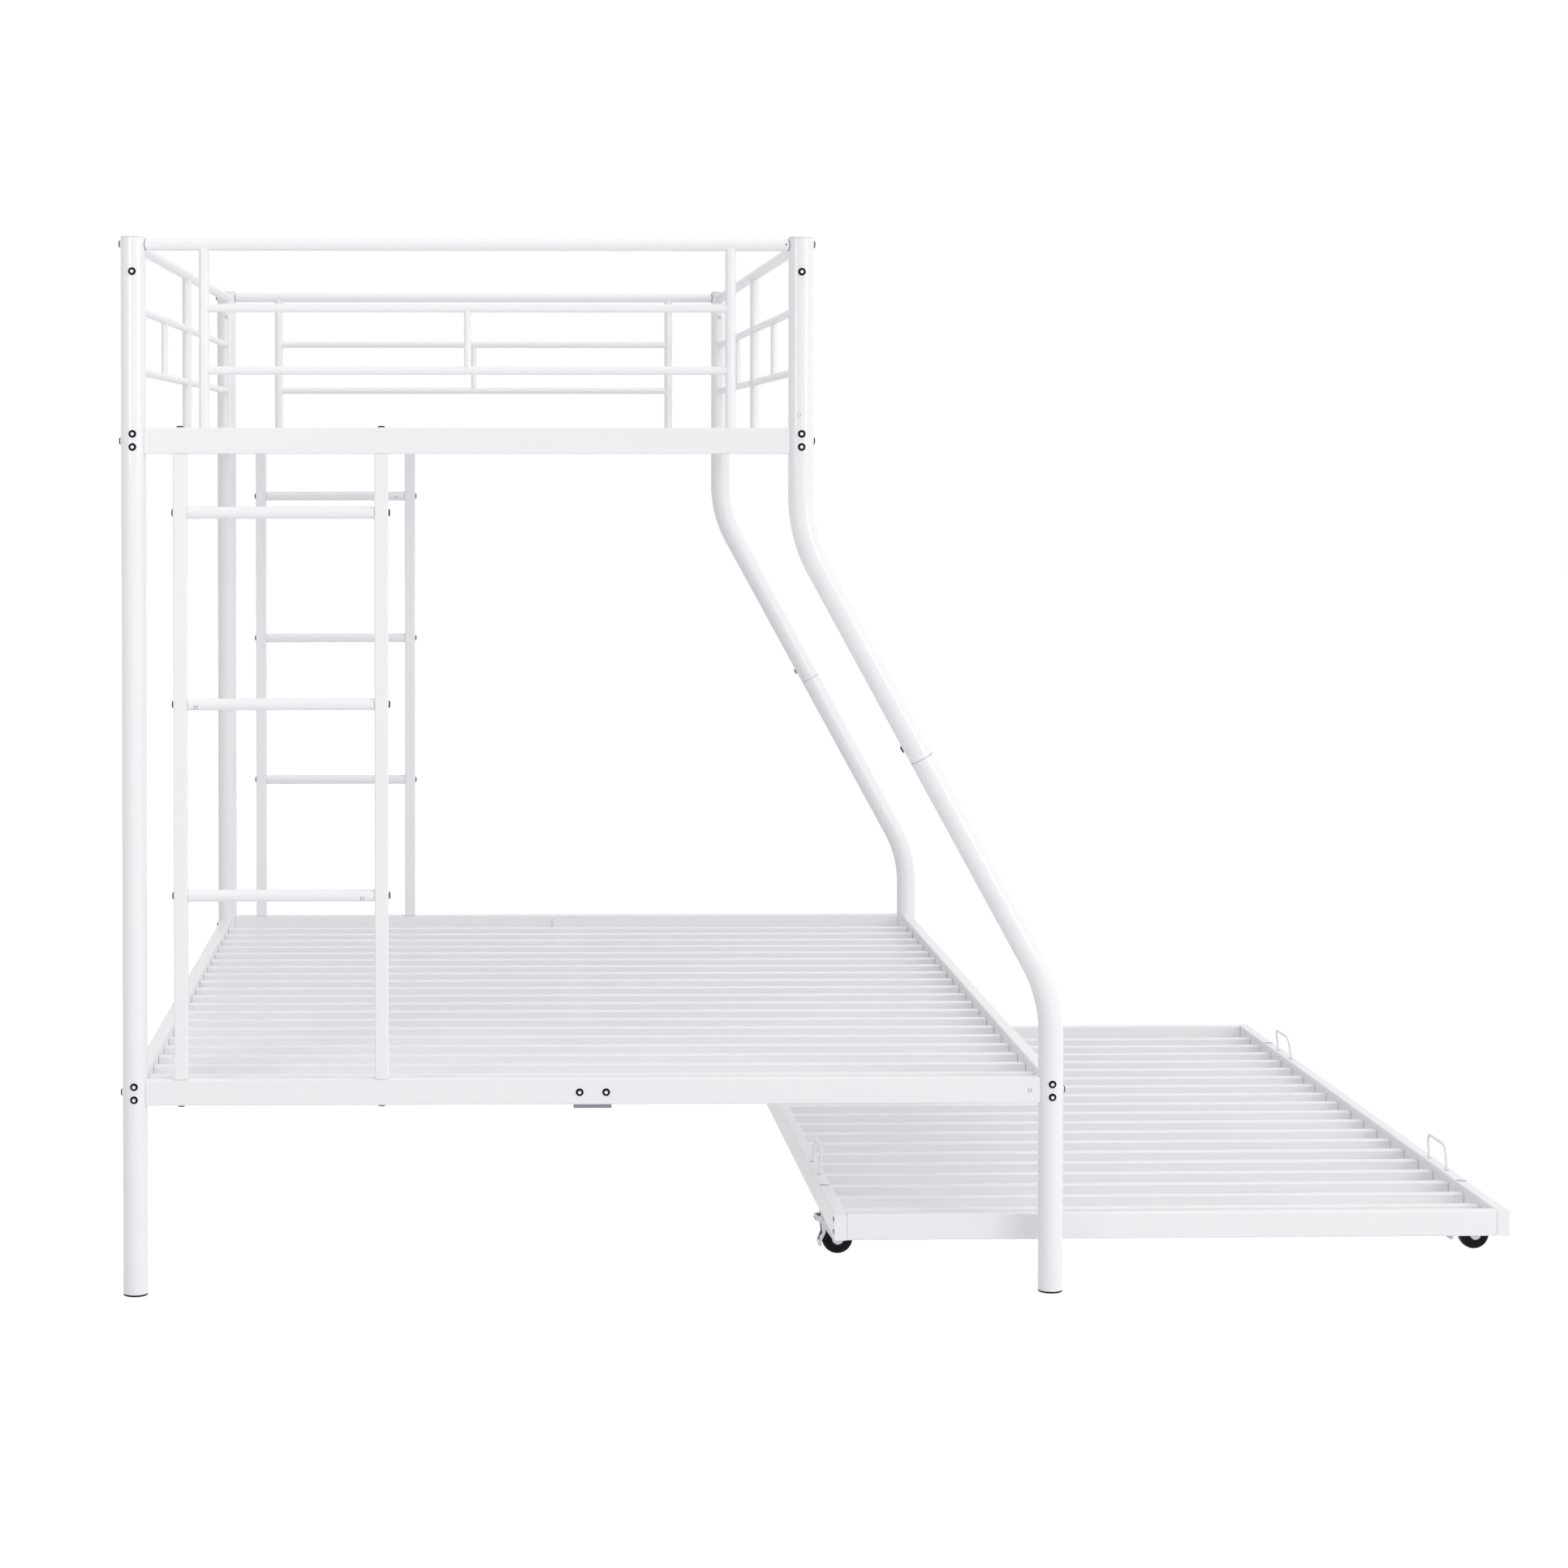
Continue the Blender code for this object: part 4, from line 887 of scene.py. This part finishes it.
class MakeBolts(bpy.types.Operator):
    """Makes the bolt heads of the bunk and its ladders"""

    bl_idname = "bunk_bed.make_bolts"
    bl_label = "Bolts"

    def execute(self, context):
        sizes = context.scene.bed_sizes
        radius = sizes.post_radius
        upper, lower = ([top - drop for drop in END_BOLT_DROPS] for top in (UPPER_RAIL_TOP, LOWER_RAIL_TOP))
        guard = BED_TOP - GUARD_END_BOLT_DROP
        end_faces = ((LEFT_X, [*upper, guard, *lower]), (UPPER_X, [*upper, guard]), (LOWER_X, lower))
        upper, lower = (top - SIDE_BOLT_DROP for top in (UPPER_RAIL_TOP, LOWER_RAIL_TOP))
        guard = BED_TOP - GUARD_SIDE_BOLT_DROP
        side_faces = (
            (LEFT_X, -1.0, [upper, guard, lower]),
            (UPPER_X, 1.0, [upper, guard]),
            (LOWER_X, 1.0, [lower]),
        )
        places = []
        for end, y in ENDS.items():
            out = OUTWARD[end]
            for x, levels in end_faces:
                places += [facing((x, y + out * radius, z), (0.0, out, 0.0)) for z in levels]
            for x, side, levels in side_faces:
                places += [facing((x + side * radius, y, z), (side, 0.0, 0.0)) for z in levels]
            _, low_bend, seam, high_bend, _ = right_post_points(sizes, end)
            along = (high_bend - low_bend).normalized()
            inward = Vector((-along.z, 0.0, along.x))
            places.append(facing(seam + along * SEAM_BOLT_STEP + inward * radius, inward))
            places += ladder_bolts(end)
            bracket = middle(f"centre_bar_bracket_{end}").x
            face, level = y + out * sizes.rail_width / 2, LOWER_RAIL_TOP - BRACKET_BOLT_DROP
            for step in (-BRACKET_BOLT_STEP, BRACKET_BOLT_STEP):
                places.append(facing((bracket + step, face, level), (0.0, out, 0.0)))
        piece("bolt_heads", [copies(bolt_head(sizes), places)], "bunk")
        return {"FINISHED"}


def ladder_bolts(end):
    """The bolts into a ladder's rungs and into its stiles' ends."""
    places = []
    for side, out in (("left", -1.0), ("right", 1.0)):
        low, mid, high = span(f"ladder_{end}_stile_{side}")
        face = low.x if out < 0 else high.x
        for number in RUNGS:
            level = middle(f"ladder_{end}_rung_{number}").z
            places.append(facing((face, mid.y, level), (out, 0.0, 0.0)))
        places.append(facing((mid.x, mid.y, UPPER_RAIL_TOP), (0.0, 0.0, 1.0)))
        places.append(facing((mid.x, mid.y, LOWER_RAIL_BOTTOM), (0.0, 0.0, -1.0)))
    return places


PLUG_RADIUS = 0.0029
RAIL_PLUG_INSET = 0.0335
HOLE_PLUG_RISE = 0.0201
HOLE_PLUG_LEAN = (-0.19, -0.98, 0.0)
TOP_VENT_INSET = 0.0231
TOP_VENT_DROP = 0.0125
NUT_DROP = 0.0530
NUT_LEAN = 0.10
VENTED_RUNGS = (
    # Rung, whether the vent is at its right end, how far the vent looks down, distance from the end
    ("ladder_front_rung_2", False, 0.42, 0.0130),
    ("ladder_front_rung_1", True, 0.40, 0.0190),
    ("ladder_rear_rung_3", True, 0.30, 0.0190),
)
NUT_DOME = ((0.0052, -0.0008), (0.0052, 0.0012), (0.0048, 0.0024), (0.0036, 0.0036), (0.0020, 0.0042))
NUT_DIMPLE = ((0.0013, 0.0042), (0.0012, 0.0036), (0.0, 0.0036))


class MakeSmallParts(bpy.types.Operator):
    """Makes the vent plugs of rungs and rails, the hole plug of the near post and the bolts' capped nuts"""

    bl_idname = "bunk_bed.make_small_parts"
    bl_label = "Plugs and capped nuts"

    def execute(self, context):
        sizes = context.scene.bed_sizes
        front = ENDS["front"]
        places = []
        for node, at_right, drop, reach in VENTED_RUNGS:
            low, mid, high = span(node)
            x = high.x - reach if at_right else low.x + reach
            out = Vector((0.0, -math.sqrt(1 - drop**2), -drop))
            places.append(facing(Vector((x, mid.y, mid.z)) + out * (high.z - low.z) / 2, out))
        face = front - sizes.rail_width / 2
        places.append(facing((LOWER_X - RAIL_PLUG_INSET, face, LOWER_RAIL_MID), (0.0, -1.0, 0.0)))
        lean = Vector(HOLE_PLUG_LEAN).normalized()
        hole = Vector((UPPER_X, front, UPPER_RAIL_TOP + HOLE_PLUG_RISE)) + lean * sizes.post_radius
        ring = [(PLUG_RADIUS, -0.0006), (PLUG_RADIUS, 0.0002), (0.0022, 0.0004), (0.0, 0.0004)]
        # The plug's side in grey is painted shade; its face is white
        hole_plug = moved(spun(ring, PLUG_SIDES, ["grey_and_painted_shade", "plug"], split=(2,)), facing(hole, lean))
        # A near-black disc on the top tube: painted shade for a vent hole
        vent = spun([(0.0013, -0.0006), (0.0013, 0.0001), (0.0, 0.0001)], HOLE_SIDES, ["dark"])
        top_vent = (UPPER_X - TOP_VENT_INSET, front - sizes.top_radius, BED_TOP - TOP_VENT_DROP)
        meshes = [copies(vent_plug(), places), hole_plug, moved(vent, facing(top_vent, (0.0, -1.0, 0.0)))]
        piece("vent_plugs", meshes, "bunk")
        # The nut's dimple in near-black: painted shade
        nut = spun([*NUT_DOME, *NUT_DIMPLE], HEAD_SIDES, ["plug", "dark"], split=(len(NUT_DOME),))
        nuts = []
        for end, y in ENDS.items():
            for x, shift in ((LEFT_X, NUT_LEAN), (UPPER_X, -NUT_LEAN)):
                out = Vector((shift, -OUTWARD[end], 0.0)).normalized()
                nuts.append(facing(Vector((x, y, BED_TOP - NUT_DROP)) + out * sizes.post_radius, out))
        piece("capped_nuts", [copies(nut, nuts)], "bunk")
        return {"FINISHED"}


def vent_plug():
    """A flat plug with four small slots, their dark a painted shade."""
    rim = [(PLUG_RADIUS, -0.0006), (PLUG_RADIUS, 0.0001), (PLUG_RADIUS * 0.9, 0.0003), (0.0, 0.0003)]
    # Near-black slots: painted shade
    slot = spun([(0.0008, -0.0002), (0.0008, 0.0004), (0.0, 0.0004)], SLOT_SIDES, ["dark"])
    places = [Matrix.Translation((x, y, 0.0)) for x in (-0.0018, 0.0018) for y in (-0.0017, 0.0017)]
    return joined([spun(rim, PLUG_SIDES, ["plug"]), copies(slot, places)])


# Pieces of the trundle


RAIL_END_GAP = 0.0004
SCREW_DROPS = (0.0085, 0.0280)
SCREW_INSET = 0.0005


class MakeTrundle(bpy.types.Operator):
    """Makes the trundle's deck, end rails and corner screws"""

    bl_idname = "bunk_bed.make_trundle"
    bl_label = "Trundle"

    def execute(self, context):
        sizes = context.scene.bed_sizes
        stand = trundle_matrix(sizes)
        width, long_side = trundle_size(sizes)
        half = sizes.rail_width / 2
        row = (sizes.trundle_slats, sizes.trundle_pitch, sizes.trundle_drop)
        meshes = deck(sizes, (half, width - half), (0.0, long_side), TRUNDLE_TOP, row, coped=False)
        meshes = [moved(mesh, stand) for mesh in meshes]
        piece("trundle_deck_welded", meshes, "trundle", ["trundle_deck_frame"])
        left, right = sizes.rail_width + RAIL_END_GAP, width - sizes.rail_width - RAIL_END_GAP
        rail_mid = TRUNDLE_TOP - sizes.rail_height / 2
        for end, y in (("front", half), ("rear", long_side - half)):
            rail = moved(rail_tubes(sizes, [[(left, y, rail_mid), (right, y, rail_mid)]]), stand)
            dress(f"trundle_end_rail_{end}", "tube", rail, body="trundle")
        radius = sizes.screw_radius
        profile = [(radius, -0.0005), (radius, 0.0004), (radius * 0.85, 0.0011), (radius * 0.5, 0.0016)]
        profile += [(radius * 0.35, 0.0016), (radius * 0.30, 0.0008), (0.0, 0.0008)]
        places = [
            facing((x, y, TRUNDLE_TOP - drop), (side, 0.0, 0.0))
            for x, side in ((0.0, -1.0), (width, 1.0))
            for y in (half + SCREW_INSET, long_side - half - SCREW_INSET)
            for drop in SCREW_DROPS
        ]
        # The screw heads' sides in near-black are painted shade, their tops zinc
        screws = moved(copies(spun(profile, PLUG_SIDES, ["dark", "zinc"], split=(2,)), places), stand)
        piece("trundle_corner_screws", [screws], "trundle")
        return {"FINISHED"}


LOOP_LEANS = {"front_left": 6.0, "rear_left": 6.0, "front_right": -3.5, "rear_right": -8.0}
LOOP_ROOT = -0.006
COLLAR_EDGE = 0.0012


class MakeLoops(bpy.types.Operator):
    """Makes the four wire loops that hold the trundle's mattress"""

    bl_idname = "bunk_bed.make_loops"
    bl_label = "Mattress loops"

    def execute(self, context):
        sizes = context.scene.bed_sizes
        stand = trundle_matrix(sizes)
        width, long_side = trundle_size(sizes)
        wire_radius = sizes.wire_radius
        half, top = sizes.loop_length / 2, sizes.loop_height - wire_radius
        ring = wire_radius + COLLAR_EDGE
        collar = [(ring, -0.0003), (ring, 0.0003), (wire_radius * 0.9, 0.0006), (0.0, 0.0006)]
        corners = [(0.0, -half, LOOP_ROOT), (0.0, -half, top), (0.0, half, top), (0.0, half, LOOP_ROOT)]
        path = rounded_path(corners, sizes.loop_corner, ROUND_STEPS)
        for corner in CORNERS:
            x = sizes.rail_width / 2 if "left" in corner else width - sizes.rail_width / 2
            y = sizes.loop_inset if "front" in corner else long_side - sizes.loop_inset
            lean = Matrix.Rotation(math.radians(LOOP_LEANS[corner]), 4, "Y")
            place = stand @ Matrix.Translation((x, y, TRUNDLE_TOP))
            wire = moved(round_tubes([path], wire_radius, steps=ROUND_STEPS), place @ lean)
            legs = [place @ Matrix.Translation((0.0, side * half, 0.0)) for side in (-1.0, 1.0)]
            collars = copies(spun(collar, PLUG_SIDES, ["grey_and_painted_shade"]), legs)
            dress(f"mattress_loop_{corner}", "wire", wire, collars, body="trundle")
        return {"FINISHED"}


# Castors, in their own frame: the stem's foot at the origin and +X towards the wheel


WHEEL_RADIUS = 0.0250
WHEEL_HALF = 0.0090
# Radius, and depth below the wheel's flat sides: hub, dished web, raised ring and tread's shoulder
WHEEL_SIDE = (
    (0.0031, 0.0),
    (0.0070, 0.0),
    (0.0076, 0.0004),
    (0.0080, 0.0018),
    (0.0150, 0.0018),
    (0.0158, 0.0014),
    (0.0166, 0.0006),
    (0.0205, 0.0004),
    (0.0222, 0.0007),
    (0.0236, 0.0016),
    (0.0245, 0.0030),
    (0.0249, 0.0050),
    (WHEEL_RADIUS, 0.0075),
)
TRAIL = 0.0200
PIVOT_BACK = 0.0035
PIVOT_HEIGHT = 0.0545
RACE_LOW = 0.0665
EAR_RADIUS = 0.0095
CHEEK_INSIDE = 0.0096
CHEEK_THICKNESS = 0.0018
YOKE_INSIDE = 0.0118
YOKE_THICKNESS = 0.0015
YOKE_OUTLINE = (
    (0.0040, 0.0020),
    (0.0030, -0.0200),
    (-0.0030, -0.0325),
    (-0.0030, -0.0405),
    (-0.0075, -0.0405),
    (-0.0075, -0.0325),
    (-0.0020, -0.0200),
    (-0.0040, -0.0035),
    (-0.0125, 0.0020),
    (-0.0125, 0.0080),
    (-0.0070, 0.0085),
    (0.0020, 0.0040),
)
UPPER_LOBE = ((-0.0086, 0.0036), (-0.0088, 0.0062), (-0.0104, 0.0086), (-0.0136, 0.0066), (-0.0128, 0.0040))
LOWER_LOBE = ((-0.0086, -0.0019), (-0.0086, 0.0026), (-0.0136, 0.0032), (-0.0139, 0.0018), (-0.0122, 0.0006))
# A near-black sheet between the lobes: painted shade where the gap is
PEDAL_GAP_SHADE = ((-0.0084, 0.0020), (-0.0084, 0.0042), (-0.0126, 0.0044), (-0.0130, 0.0028))
TAIL = ((-0.0033, -0.0331), (-0.0033, -0.0399), (-0.0082, -0.0404), (-0.0060, -0.0331))


def along_y(mesh):
    """A spun mesh laid from Z to Y."""
    return moved(mesh, Matrix.Rotation(-math.pi / 2, 4, "X"))


def wheel_mesh():
    """A moulded wheel: crowned tread, dished sides with a raised ring, and a hub."""
    side = [(radius, WHEEL_HALF - depth) for radius, depth in WHEEL_SIDE]
    profile = side + [(radius, -z) for radius, z in reversed(side)]
    return along_y(spun([*profile, profile[0]], MOULDED_SIDES, ["nylon"]))


def both_sides(outline, thickness, inside, finish, bevel):
    """A pair of equal sheets, each with its inner face at the same distance from the middle."""
    place = inside + thickness / 2
    return [shifted(sheet(outline, thickness, finish, bevel), y=side * place) for side in (-1.0, 1.0)]


def fork_meshes():
    """Two cheeks with rounded ears, the crown, the race with the stem, the axle and the lever's pins."""
    low, inside = RACE_LOW, CHEEK_INSIDE
    outline = [(0.0320, low - 0.0008)]
    for turn in (math.pi * k / 12 for k in range(13)):
        outline.append((TRAIL + EAR_RADIUS * math.cos(turn), WHEEL_RADIUS - EAR_RADIUS * math.sin(turn)))
    outline += [(-0.0080, low - 0.0158), (-0.0080, low - 0.0008)]
    cheeks = both_sides(outline, CHEEK_THICKNESS, inside, "zinc", 0.0004)
    crown = block((-0.0075, -inside - 0.0010, low - 0.0030), (0.0315, inside + 0.0010, low), "zinc", 0.0006)
    race = [(0.0, low - 0.001), (0.0098, low - 0.001), (0.0100, low + 0.0006), (0.0092, low + 0.0012)]
    race += [(0.0092, low + 0.0022), (0.0100, low + 0.0028), (0.0098, 0.0705), (0.0040, 0.0705)]
    race += [(0.0040, 0.1010), (0.0030, 0.1030), (0.0, 0.1030)]
    head = inside + CHEEK_THICKNESS
    rivet = [(0.0, -head - 0.0014), (0.0030, -head - 0.0013), (0.0043, -head - 0.0006)]
    rivet += [(0.0045, -head + 0.0004), (0.0030, -head + 0.0005)]
    rivet += [(radius, -z) for radius, z in reversed(rivet)]
    axle = shifted(along_y(spun(rivet, HEAD_SIDES, ["zinc"])), x=TRAIL, z=WHEEL_RADIUS)
    pin = [(0.0, head - 0.0010), (0.0015, head - 0.0010), (0.0015, head + 0.0023), (0.0027, head + 0.0023)]
    pin += [(0.0026, head + 0.0033), (0.0016, head + 0.0037), (0.0, head + 0.0037)]
    pins = []
    for side in (-1.0, 1.0):
        mesh = along_y(spun([(radius, side * z) for radius, z in pin], PIN_SIDES, ["zinc"]))
        pins.append(shifted(mesh, x=-PIVOT_BACK, z=PIVOT_HEIGHT))
    return [*cheeks, crown, spun(race, STEM_SIDES, ["zinc"]), axle, *pins]


def lever_meshes():
    """The brake yoke: two arms, a pedal of two lobes pale as a painted highlight, a near-black sheet between
    them as painted shade in the gap, and a tail.
    """
    wide = 2 * YOKE_INSIDE + 0.0014
    shapes = (
        (UPPER_LOBE, wide, "bright"),
        (LOWER_LOBE, wide, "bright"),
        (PEDAL_GAP_SHADE, wide - 0.0006, "dark"),
        (TAIL, wide, "zinc"),
    )
    pedal = [sheet(*shape, 0.0003) for shape in shapes]
    return [*both_sides(YOKE_OUTLINE, YOKE_THICKNESS, YOKE_INSIDE, "zinc", 0.0003), *pedal]


class MakeCastors(bpy.types.Operator):
    """Makes the castors: wheel, fork, brake lever and socket plug of each"""

    bl_idname = "bunk_bed.make_castors"
    bl_label = "Castors"

    def execute(self, context):
        sizes = context.scene.bed_sizes
        for corner in CORNERS:
            node = f"castor_{corner}"
            stem = stem_place(corner)
            wheel = Vector(JOINTS[f"wheel_{corner}_spin"]["pos_m"])
            turn = math.atan2(wheel.y - stem.y, wheel.x - stem.x)
            stand = Matrix.Translation((stem.x, stem.y, 0.0)) @ Matrix.Rotation(turn, 4, "Z")
            place = stand @ Matrix.Translation((TRAIL, 0.0, WHEEL_RADIUS))
            wheel = moved(wheel_mesh(), place)
            dress(f"{node}_wheel", "moulding", wheel, body=f"wheel_{corner}", slot="black_nylon")
            fork = [moved(mesh, stand) for mesh in fork_meshes()]
            dress(f"{node}_fork", "pressed", *fork, body=node, slot="zinc_plate")
            limits = JOINTS[f"brake_{corner}_press"]["range_deg"]
            rest = Matrix.Rotation(math.radians(-limits[0]), 4, "Y")
            place = stand @ Matrix.Translation((-PIVOT_BACK, 0.0, PIVOT_HEIGHT)) @ rest
            lever = [moved(mesh, place) for mesh in lever_meshes()]
            dress(f"{node}_brake_lever", "pressed", *lever, body=f"brake_{corner}", slot="zinc_plate")
            make_socket(f"{node}_socket", stem, sizes.plug_radius)
        return {"FINISHED"}


def make_socket(node, stem, radius):
    """The socket's head on the rail: a crowned plug with a dimple, the side of its head grey as painted
    shade.
    """
    top, high, bore = TRUNDLE_TOP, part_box(node)[1].z, 0.0056
    profile = [(bore, TRUNDLE_BOTTOM), (bore, top), (radius, top + 0.0002), (radius, top + 0.0005)]
    profile += [(radius - 0.0004, high - 0.0003), (radius - 0.0012, high), (0.0024, high - 0.0001)]
    profile += [(0.0018, high - 0.0009), (0.0, high - 0.0009)]
    mesh = spun(profile, STEM_SIDES, ["plug", "grey_and_painted_shade", "plug"], split=(3, 4))
    dress(node, "moulding", shifted(mesh, stem.x, stem.y), body="trundle", slot="white_plastic")


# Stage


CAMERA_PLACE = (-0.5270, -6.4966, 1.3011)
CAMERA_YAW = 0.0170
CAMERA_PITCH = 0.0220
CAMERA_LENS = 82.71
CAMERA_SHIFT = (0.1476, -0.1633)
FILL_LEAN = (0.37, -0.07, 0.18)
FILL_LEVEL = 0.74
FILL_COLOUR = "#F5F3F6"
FLOOR_HALF = 30.0
FLOOR_DROP = 0.0005
FLOOR_COLOUR = "#E8E8EA"
# Where it is seen, the floor is a paler shade plus a glow that lifts it to white
FLOOR_SHADE = "#787878"
FLOOR_GLOW = 0.945
LAMP_TARGET = Vector((0.0, 0.0, 0.8))
LAMP_COLOUR = (1.0, 1.0, 0.965)
# Name, place, size and watts
LAMPS = (
    ("right_softbox", (3.7, -4.3, 1.95), (1.6, 1.4), 20.0),
    ("left_softbox", (-1.9, -2.6, 1.65), (0.5, 0.8), 6.4),
    ("key", (4.5, -5.5, 1.6), (3.0, 2.4), 50.0),
    ("overhead", (0.3, -0.4, 4.8), (5.0, 5.0), 36.0),
)


def where_seen(tree, seen, falling):
    """One shader for rays from the camera, a reflection or glass, and another for light on things."""
    rays = add_node(tree, "ShaderNodeLightPath").outputs
    share = rays["Is Camera Ray"]
    for kind in ("Is Glossy Ray", "Is Transmission Ray"):
        either = add_node(tree, "ShaderNodeMath", {"operation": "MAXIMUM"})
        tree.links.new(share, either.inputs[0])
        tree.links.new(rays[kind], either.inputs[1])
        share = either.outputs["Value"]
    mix = add_node(tree, "ShaderNodeMixShader", Fac=share)
    tree.links.new(falling, mix.inputs[1])
    tree.links.new(seen, mix.inputs[2])
    return mix.outputs["Shader"]


class MakeStage(bpy.types.Operator):
    """Sets the camera, the soft studio light, the white world and the floor"""

    bl_idname = "bunk_bed.make_stage"
    bl_label = "Stage"

    def execute(self, context):
        scene = context.scene
        scene.view_settings.view_transform = "Standard"
        lens = bpy.data.cameras.new("camera")
        lens.lens = CAMERA_LENS
        lens.sensor_width = 36.0
        lens.shift_x, lens.shift_y = CAMERA_SHIFT
        camera = bpy.data.objects.new("camera", lens)
        camera.location = CAMERA_PLACE
        camera.rotation_euler = (math.pi / 2 - CAMERA_PITCH, 0.0, -CAMERA_YAW)
        scene.collection.objects.link(camera)
        scene.camera = camera
        make_world(scene)
        make_floor(scene)
        make_lamps(scene)
        return {"FINISHED"}


def make_world(scene):
    """White where it is seen, and elsewhere a soft fill, stronger from the right, above and front."""
    world = bpy.data.worlds.new("white_studio")
    world.use_nodes = True
    scene.world = world
    tree = world.node_tree
    tree.nodes.clear()
    place = add_node(tree, "ShaderNodeTexCoord")
    lean = add_node(tree, "ShaderNodeVectorMath", {"operation": "DOT_PRODUCT"})
    tree.links.new(place.outputs["Generated"], lean.inputs[0])
    lean.inputs[1].default_value = FILL_LEAN
    level = add_node(tree, "ShaderNodeMath", {"operation": "ADD"}, Value=lean.outputs["Value"])
    level.inputs[1].default_value = FILL_LEVEL
    fill = add_node(
        tree, "ShaderNodeBackground", {"Color": linear(FILL_COLOUR)}, Strength=level.outputs["Value"]
    )
    white = add_node(tree, "ShaderNodeBackground", {"Color": linear("#FFFFFF"), "Strength": 1.0})
    shown = where_seen(tree, white.outputs["Background"], fill.outputs["Background"])
    add_node(tree, "ShaderNodeOutputWorld", Surface=shown)


def make_floor(scene):
    """A white floor that keeps a faint contact shadow."""
    mesh = bpy.data.meshes.new("floor")
    corners = [(x * FLOOR_HALF, y * FLOOR_HALF, 0.0) for x, y in ((-1, -1), (1, -1), (1, 1), (-1, 1))]
    mesh.from_pydata(corners, [], [(0, 1, 2, 3)])
    floor = bpy.data.objects.new("floor", mesh)
    floor.location.z = -FLOOR_DROP
    scene.collection.objects.link(floor)
    finish = bpy.data.materials.new("white_floor")
    finish.use_nodes = True
    tree = finish.node_tree
    tree.nodes.clear()
    real = add_node(tree, "ShaderNodeBsdfDiffuse", {"Color": linear(FLOOR_COLOUR)})
    pale = add_node(tree, "ShaderNodeBsdfDiffuse", {"Color": linear(FLOOR_SHADE)})
    glow = add_node(tree, "ShaderNodeEmission", {"Strength": FLOOR_GLOW})
    seen = add_node(tree, "ShaderNodeAddShader")
    tree.links.new(pale.outputs["BSDF"], seen.inputs[0])
    tree.links.new(glow.outputs["Emission"], seen.inputs[1])
    shown = where_seen(tree, seen.outputs["Shader"], real.outputs["BSDF"])
    add_node(tree, "ShaderNodeOutputMaterial", Surface=shown)
    mesh.materials.append(finish)


def make_lamps(scene):
    """A wide key light, one overhead, and two softboxes that draw the thin bright streaks on the tubes."""
    for name, place, size, watts in LAMPS:
        lamp = bpy.data.lights.new(name, "AREA")
        lamp.shape = "RECTANGLE"
        lamp.size, lamp.size_y = size
        lamp.energy = watts
        lamp.color = LAMP_COLOUR
        holder = bpy.data.objects.new(name, lamp)
        holder.location = place
        holder.rotation_euler = (LAMP_TARGET - Vector(place)).to_track_quat("-Z", "Y").to_euler()
        holder.visible_glossy = name != "key"
        scene.collection.objects.link(holder)


# The add-on's panel and registration


MAKERS = (
    MakePosts,
    MakeUpperRails,
    MakeDecks,
    MakeLadders,
    MakeBolts,
    MakeSmallParts,
    MakeTrundle,
    MakeLoops,
    MakeCastors,
    MakeStage,
)
GROUPS = {"bed_sizes": BedSizes, "bed_colours": BedColours}


class BunkBedPanel(bpy.types.Panel):
    """Lists the pieces and their sizes"""

    bl_idname = "VIEW3D_PT_bunk_bed"
    bl_label = "Bunk Bed"
    bl_space_type = "VIEW_3D"
    bl_region_type = "UI"
    bl_category = "Bunk Bed"

    def draw(self, context):
        for maker in MAKERS:
            self.layout.operator(maker.bl_idname)
        for group in (getattr(context.scene, name) for name in GROUPS):
            box = self.layout.box()
            for name in group.bl_rna.properties.keys():
                if name not in {"rna_type", "name"}:
                    box.prop(group, name)


def register():
    for kind in (*GROUPS.values(), *MAKERS, BunkBedPanel):
        bpy.utils.register_class(kind)
    for name, kind in GROUPS.items():
        setattr(bpy.types.Scene, name, PointerProperty(type=kind))


def unregister():
    for name in GROUPS:
        delattr(bpy.types.Scene, name)
    for kind in reversed((*GROUPS.values(), *MAKERS, BunkBedPanel)):
        bpy.utils.unregister_class(kind)


def main():
    register()
    TREES.update(
        round_tubes=tube_tree("round_tubes_along_paths", "MINIMUM_TWIST"),
        flat_tubes=tube_tree("flat_tubes_along_paths", "Z_UP"),
        slats=slat_tree(),
        copies=copies_tree(),
    )
    FINISHES.update(make_materials(bpy.context.scene.bed_colours))
    for maker in MAKERS:
        group, name = maker.bl_idname.split(".")
        getattr(getattr(bpy.ops, group), name)()
    bpy.context.view_layer.update()


if __name__ == "__main__":
    main()
